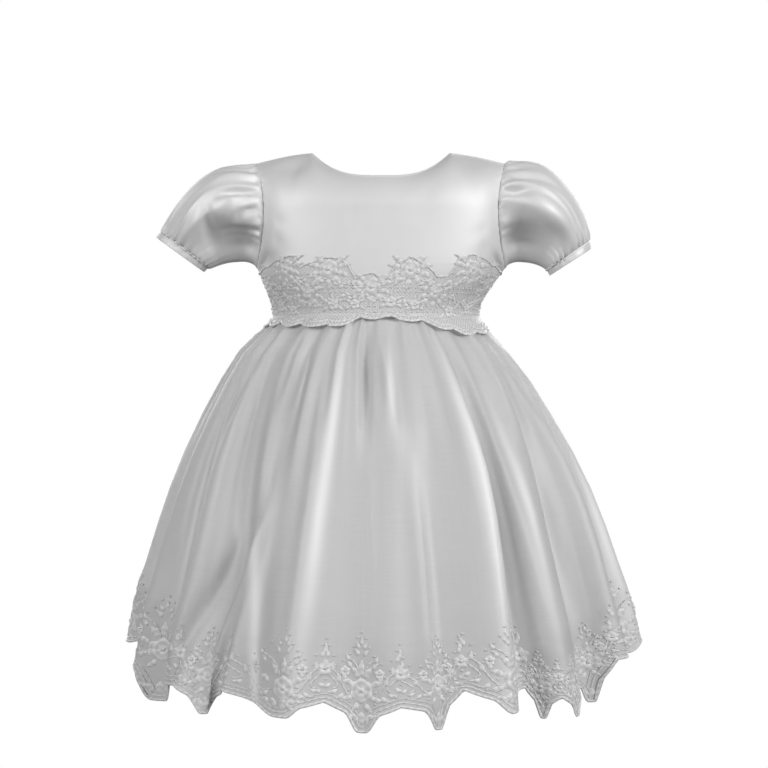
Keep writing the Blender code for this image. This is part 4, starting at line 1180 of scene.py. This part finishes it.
def hem_border(start, end):
    """The groups of pads and cords of the border between two seams."""
    groups = [cord_strip(*inset_line(start + 0.2, end - 0.2, inset), width, height)
              for inset, width, height in EDGE_CORDS]
    groups += [leaves(BORDER_LEAVES, start, end), leaves(LOBE_LEAVES, start, end, from_tip=True)]
    for across, up, radius, petals in BORDER_FLOWERS:
        deg, drop, size, inside = at_scallops(np.array([across]), np.array([up]), start, end)
        groups += flowers(deg[inside], drop[inside], radius * size[inside], int(petals))
    deg, drop, size, inside = at_scallops(*with_twins(SEEDS, (-1.0, 1.0)).T, start, end)
    groups.append(stitched(dot_pad(), deg[inside], drop[inside], 0.0, 1.8, 1.8, 0.7))
    t = np.linspace(0.0, 1.0, 18)
    for side in (-1.0, 1.0):
        scrolls = ((0.18 + 0.80 * t, 10.5 + 9.0 * t - 4.5 * np.sin(2.0 * math.pi * t)),
                   (0.05 + 0.36 * t**1.5, 20.0 + 12.0 * t + 3.0 * np.sin(math.pi * t)),
                   (0.98 - 0.30 * np.sin(2.4 * t), 20.0 - 14.0 * t + 4.0 * t**2))
        for across, up in scrolls:
            deg, drop, _, inside = at_scallops(side * across, up, start, end)
            whole = inside.all(axis=1)
            if whole.any():
                groups.append(cord_strip(deg[whole], drop[whole], 1.1, 0.55))
    return groups


thread = rayon_thread()
for name, solid, start, end, _, width in OVERLAY_PANELS:
    border = sew_on(name + "_hem_embroidery", hem_border(start, end), on_overlay, round_oval(*BORDER_OVAL),
                    thread)


# ------------------------------------------------------------------ lace band on the bodice
# Applique lace across the front above the waist: net cut round its motifs, with corded edges,
# padded flowers and leaves. Its scalloped lower edge hangs over the gathers of the skirt.
LACE_EDGES = np.array([  # angle from the front centre, drop of the top edge and of the lower edge
    (-88, 103, 147), (-66, 97, 146.5), (-54, 91, 147), (-47, 91, 147.5), (-41, 101, 148),
    (-32, 94, 148.5), (-22, 92.5, 149.5), (-15.5, 99, 147), (-11, 109, 144.5), (-3, 105.5, 142.5),
    (4, 110, 142), (8.5, 96.5, 142.5), (15, 92.5, 143.5), (23, 99.5, 145), (29, 109, 147.5),
    (35, 106, 150.5), (42, 93, 153.5), (55, 89, 155), (66, 96, 153), (88, 103, 148),
])
NET_WALL = 0.25
LACE_SCALLOP, LACE_SCALLOPS = 3.0, 22  # depth, and how many to a full turn
LACE_FLOWERS = np.array([  # angle, drop, radius
    (-74, 117, 9), (-51, 101, 9), (-38, 121, 8.5), (-25, 102.5, 9.5), (-3, 117, 9),
    (14.5, 103, 9.5), (31, 121, 8.5), (50, 101.5, 10), (72, 115, 9),
])
LACE_STEMS = (  # drop, way of the first wave, width, height, degrees of the first leaf
    (126.5, 1, 1.2, 0.6, -85),
    (112, -1, 1, 0.5, -82),
)
STEM_WAVE, STEM_WAVES = 3.4, 8.0  # height, and how many to a full turn
LACE_SPOT_DROPS = (106.0, 117.5, 121.0, 132.5, 137.0)
LACE_MM_PER_DEGREE = 1.45
LACE_OVAL = (93.0, 65.0)
FLOWER_LEAF_TURNS = (-158.0, -125.0, -90.0, -55.0, -22.0, 12.0, 168.0, 40.0, 140.0)
SPRIG_LEAF_TURNS = (20.0, 160.0, -32.0, 212.0, 90.0)
LACE_SPRIGS = np.array([  # small flowers between the large ones
    (-84, 132, 4.6), (-62, 131, 5.4), (-50, 135, 4.6), (-23, 131, 5.4), (-11, 131, 4.6),
    (8, 129, 5.2), (21, 131.5, 4.8), (43, 136, 5.4), (59, 134, 5.2), (83, 131, 4.6),
])


def lace_edge(deg):
    """The drops of the band's top edge, cut in small lobes, and of its scalloped lower edge."""
    top, bottom = (np.interp(deg, LACE_EDGES[:, 0], LACE_EDGES[:, i]) for i in (1, 2))
    top = top - 1.5 * np.abs(np.sin(np.radians(deg) * 16.0)) + 0.7
    return top, bottom + LACE_SCALLOP * (np.abs(np.cos(LACE_SCALLOPS / 2.0 * np.radians(deg))) - 0.5)


def lace_form(theta, drop):
    """The bodice, then from the waist seam down the crests of the skirt's gathers."""
    x, depth = torso(theta / (math.pi / 2.0), drop, "front")
    share = np.maximum(drop - SKIRT_TOP_DROP, 0.0) / FRONT_FALL
    width, skirt_depth, gather, _, shift = skirt_section(share)
    crest = gather + 1.3
    over_skirt = smooth((drop - WAIST_DROP + 4.0) / 4.0)
    x = x + (shift + (width + crest) * np.sin(theta) - x) * over_skirt
    depth = depth + ((skirt_depth + crest) * np.cos(theta) - depth) * over_skirt
    return x, -depth, drop


def lace_cloth(theta, drop, high=0.0):
    """Points in metres on the lace's ground, a little off the satin and with its creases."""
    out = outward(lambda a, b: lace_form(a, -b), theta, -drop, 0.02, 1.0)
    level = (WAIST_DROP - drop) / SIDE_RISE
    u = theta / (math.pi / 2.0)
    creases = furrows(u * HALF_GIRTH, drop, FRONT_LINES) * smooth(level / 0.06)
    ripple = 0.6 * np.sin(9.0 * theta + 0.6) * np.sin(21.0 * theta)
    ripple = ripple * smooth((drop - WAIST_DROP + 6.0) / 10.0)
    stand = creases + ripple + 0.55 + high
    return placed(*lace_form(theta, drop)) + out * stand[..., None] * MM


def lace_net():
    """Cotton bobbin net: square meshes set on the cross, held by fine threads.

    The meshes are 1 mm in the real net. They are drawn 1.8 mm wide, so that they show.
    """
    tree, shader, made = new_material("bobbin_net")
    uv = node(tree, "UVMap", {"uv_map": "cloth"})
    turned = {"Rotation": (0.0, 0.0, math.pi / 4.0), "Scale": (560.0, 560.0, 560.0)}
    cross = node(tree, "Mapping", turned, {"Vector": (uv, "UV")})
    meshes = node(tree, "TexVoronoi", {"feature": "DISTANCE_TO_EDGE", "Randomness": 0.12, "Scale": 1.0},
                  {"Vector": (cross, "Vector")})
    alpha = node(tree, "MapRange", {"From Min": 0.10, "From Max": 0.28, "To Min": 0.72, "To Max": 0.12},
                 {"Value": (meshes, "Distance")})
    wire(tree, shader, {"Base Color": srgb("#ececec"), "Roughness": 0.6}, {"Alpha": (alpha, "Result")})
    return made


def stem(deg, middle, way):
    """The drop of a stem that waves about its middle."""
    return middle + way * STEM_WAVE * np.sin(np.radians(deg * STEM_WAVES))


def lace_motifs():
    """The groups of pads and cords of the band: its edges, two waving stems, flowers and leaves."""
    line = np.linspace(-86.5, 86.5, 520)
    top, bottom = lace_edge(line)
    groups = [cord_strip(line, bottom - 0.9, 1.9, 0.9), cord_strip(line, bottom - 4.2, 1.1, 0.6),
              cord_strip(line, top + 0.8, 1.4, 0.7)]
    groups += [cord_strip(line, stem(line, middle, way), width, height)
               for middle, way, width, height, _ in LACE_STEMS]
    for petals in (5, 6):
        large = LACE_FLOWERS[petals - 5::2]
        groups += flowers(large[:, 0], large[:, 1], large[:, 2] * 0.85, petals, 90.0 + 12.0 * petals)
    groups += flowers(LACE_SPRIGS[:, 0], LACE_SPRIGS[:, 1], LACE_SPRIGS[:, 2], 5, 100.0)
    leafy = ((LACE_FLOWERS, FLOWER_LEAF_TURNS, 1.05), (LACE_SPRIGS, SPRIG_LEAF_TURNS, 1.35))
    for table, turns, reach in leafy:
        turn = np.tile(turns, len(table))
        deg, drop, radius = np.repeat(table, len(turns), axis=0).T
        right, up = np.cos(np.radians(turn)), np.sin(np.radians(turn)) * radius * 0.75
        deg, bend = deg + right * radius * 0.75 / LACE_MM_PER_DEGREE, np.where(right > 0.0, 0.9, -0.9)
        groups.append(stitched(leaf_pad(), deg, drop - up, turn, radius * reach, radius * 0.45, 0.9, bend))
    for middle, way, _, _, first in LACE_STEMS:
        stops = np.arange(first, 85.0, 5.0)
        rise = np.where(np.arange(len(stops)) % 2, 1.0, -1.0)
        at = stem(stops, middle, way)
        groups.append(stitched(leaf_pad(), stops, at, 90.0 + rise * 126.0, 5.6, 2.8, 0.8, rise * 0.8))
        groups.append(stitched(leaf_pad(), stops + 1.4, at, 90.0 - rise * 50.0, 5.2, 2.6, 0.8, -rise * 0.8))
    spots = np.array([(x + row * 1.1, drop) for row, drop in enumerate(LACE_SPOT_DROPS)
                      for x in np.arange(-84.0, 85.0, 3.2)])
    spots = spots[lace_edge(spots[:, 0])[0] + 4.0 < spots[:, 1]]
    groups.append(stitched(dot_pad(), spots[:, 0], spots[:, 1], 0.0, 1.7, 1.7, 0.6))
    lobes = np.degrees(np.arange(-10, 11) * 2.0 * math.pi / LACE_SCALLOPS)
    lobes = lobes[np.abs(lobes) < 86.0]
    groups.append(stitched(dot_pad(), lobes, lace_edge(lobes)[1] - 6.6, 0.0, 2.4, 2.4, 0.9))
    return groups


net_deg = np.linspace(-87.0, 87.0, 260)
net_top, net_bottom = lace_edge(net_deg)
net_rows = np.linspace(0.0, 1.0, 34)[:, None]
net_drop = net_bottom + (net_top - net_bottom) * net_rows
laid_flat = np.stack([net_deg * LACE_MM_PER_DEGREE + 0.0 * net_drop, -net_drop], axis=-1) * MM
net = grid_mesh("lace_band_net", lace_cloth(np.radians(net_deg)[None, :], net_drop), flat=laid_flat)
sewn(net, lace_net(), ["bodice_lace"], NET_WALL)
motifs = sew_on("lace_band_embroidery", lace_motifs(), lace_cloth, round_oval(*LACE_OVAL),
                thread)


# ------------------------------------------------------------------ buttons down the back
# Four domed buttons with a pearl finish, sewn to the left back and pushed through worked
# buttonholes in the right back, which laps over it. They stay fastened.
BUTTON_RADIUS = 4.5
BUTTON_HEIGHT = 2.6
BUTTON_DROPS = (26.0, 60.0, 94.0, 128.0)
BUTTON_STAND = 2.05
BUTTON_PROFILE = np.array([  # shares of the radius and of the height, from the back out to the crown
    (0.15, 0), (0.86, 0), (0.97, 0.12), (1, 0.28), (0.96, 0.42), (0.9, 0.48),
    (0.84, 0.47), (0.79, 0.55), (0.66, 0.75), (0.48, 0.9), (0.26, 0.98), (0.02, 1),
])
BUTTONHOLE = (13.0, 4.4)  # length and width of the worked edge
ACROSS = np.array([1.0, 0.0, 0.0])


def pearl_polyester():
    """Cast polyester with pearl flake: a clear gloss over a faintly clouded white body."""
    tree, shader, made = new_material("pearl_polyester")
    place = node(tree, "TexCoord")
    flake = node(tree, "TexNoise", {"Scale": 420.0, "Detail": 2.0}, {"Vector": (place, "Object")})
    shades = {"data_type": "RGBA", FIRST_COLOUR: srgb("#d8d8d8"), LAST_COLOUR: srgb("#f0f0f0")}
    colour = node(tree, "Mix", shades, {"Factor": (flake, "Fac")})
    wire(tree, shader, {"Roughness": 0.22, "Coat Weight": 0.6, "Coat Roughness": 0.08},
         {"Base Color": (colour, MIXED)})
    return made


def full_turn(steps):
    """Angles of a circle's points."""
    return np.arange(steps) * 2.0 * math.pi / steps


def button_dome(seat, out):
    """A turned dome on its seat: a flat back, a rounded rim, a groove inside it and the crown. The
    profile is carried round the outward direction."""
    profile = BUTTON_PROFILE * np.array([BUTTON_RADIUS, BUTTON_HEIGHT]) * MM
    turn = full_turn(48)
    spoke = np.cos(turn)[:, None] * ACROSS + np.sin(turn)[:, None] * np.cross(out, ACROSS)
    return seat + profile[:, 0, None, None] * spoke + profile[:, 1, None, None] * out


def worked_edge(seat, out):
    """A buttonhole's satin-stitched edge: a half-round cord along an oval in the cloth's plane."""
    turn = full_turn(56)
    c = np.linspace(-1.0, 1.0, 6)[:, None]
    long, wide = (size / 2.0 for size in BUTTONHOLE)
    x = (long + 0.7 * c) * np.sign(np.cos(turn)) * np.abs(np.cos(turn)) ** 0.7
    y = (wide - 0.8 + 0.7 * c) * np.sin(turn)
    height = 0.55 * (1.0 - c**2) - 0.1 + 0.08 * np.cos(28.0 * turn)
    x, y, height = (v[..., None] for v in (x, y, height))
    return seat + (x * ACROSS + y * np.cross(out, ACROSS) + height * out) * MM


pearl = pearl_polyester()
lean = math.radians(NECK_LEAN_DEG)
for number, drop in enumerate(BUTTON_DROPS, start=1):
    level = (WAIST_DROP - drop) / SIDE_RISE
    if drop < ARMHOLE_MID_DROP:
        rise = (ARMHOLE_MID_DROP - drop) / (ARMHOLE_MID_DROP - NECK["back"][0])
        level = 1.0 + math.asin(rise * math.sin(lean)) / lean
    centre, level = np.zeros((1, 1)), np.full((1, 1), level)
    out = outward(lambda a, b: bodice_form(a, b, "back"), centre, level, -0.01, 0.01)[0, 0]
    seat = placed(*bodice_form(centre, level, "back"))[0, 0]
    dome = button_dome(seat + out * BUTTON_STAND * MM, out)
    dome = grid_mesh(f"pearl_button_{number}", dome, closed=True)
    sewn(dome, pearl, [f"button_{number}"])
    hole = worked_edge(seat + out * (LAP_STEP + 0.05) * MM, out)
    sewn(grid_mesh(f"buttonhole_{number}", hole, closed=True), satin)


# ------------------------------------------------------------------ floor, light and camera
# A round pale floor below the gown, which is held up by its wearer, soft light from both sides of
# the front and from behind, and a level camera at the height of the gown's middle.
FLOOR_BELOW = 0.8
FLOOR_RADIUS = 0.6
MIDDLE = np.array([0.0, 0.0, -0.21])
LAMP_DISTANCE = 2.3
LAMP_SIZE = 1.3
ROOM_GLOW = 0.07
CAMERA_DISTANCE = 1.3
CAMERA_X = 0.00255
CAMERA_Z = -0.1913
FOCAL_PIXELS = 1529.0
IMAGE_PIXELS = 768.0
LAMPS = (  # name, azimuth from the front and height in degrees, power
    ("key", 52, 22, 40.0),
    ("front_fill", 5, 12, 5.0),
    ("left_side", -50, 20, 29.0),
    ("back_key", 158, 20, 24.0),
    ("back_fill", -146, 18, 18.0),
)

floor_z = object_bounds()[0][2] - FLOOR_BELOW
rim = [(FLOOR_RADIUS * math.cos(a), FLOOR_RADIUS * math.sin(a), floor_z) for a in full_turn(96)]
disc = bpy.data.meshes.new("floor")
disc.from_pydata(rim, [], [range(len(rim))])
tree, shader, painted = new_material("white_paint")
wire(tree, shader, {"Base Color": srgb("#e6e6e6"), "Roughness": 0.8})
disc.materials.append(painted)
added("floor", disc)

# Square area lights that face the middle of the gown.
for name, azimuth, height, power in LAMPS:
    azimuth, height = math.radians(azimuth), math.radians(height)
    light = bpy.data.lights.new(name, "AREA")
    light.size, light.energy = LAMP_SIZE, power
    lamp = added(name, light)
    level = math.cos(height)
    way = np.array([math.sin(azimuth) * level, -math.cos(azimuth) * level, math.sin(height)])
    lamp.location = MIDDLE + LAMP_DISTANCE * way
    lamp.rotation_euler = (math.pi / 2.0 - height, 0.0, azimuth)

world = bpy.data.worlds.new("white_room")
bpy.context.scene.world = world
world.use_nodes = True
sky = world.node_tree
strength = node(sky, "MapRange", {"To Min": ROOM_GLOW, "To Max": 1.0},
                {"Value": (node(sky, "LightPath"), "Is Camera Ray")})
wire(sky, sky.nodes["Background"], {"Color": srgb("#ffffff")}, {"Strength": (strength, "Result")})
bpy.context.scene.view_settings.view_transform = "Standard"

camera_data = bpy.data.cameras.new("camera")
camera_data.lens = FOCAL_PIXELS / IMAGE_PIXELS * camera_data.sensor_width
camera = added("camera", camera_data)
camera.location = (CAMERA_X, -CAMERA_DISTANCE, CAMERA_Z)
camera.rotation_euler = (math.pi / 2.0, 0.0, 0.0)
bpy.context.scene.camera = camera
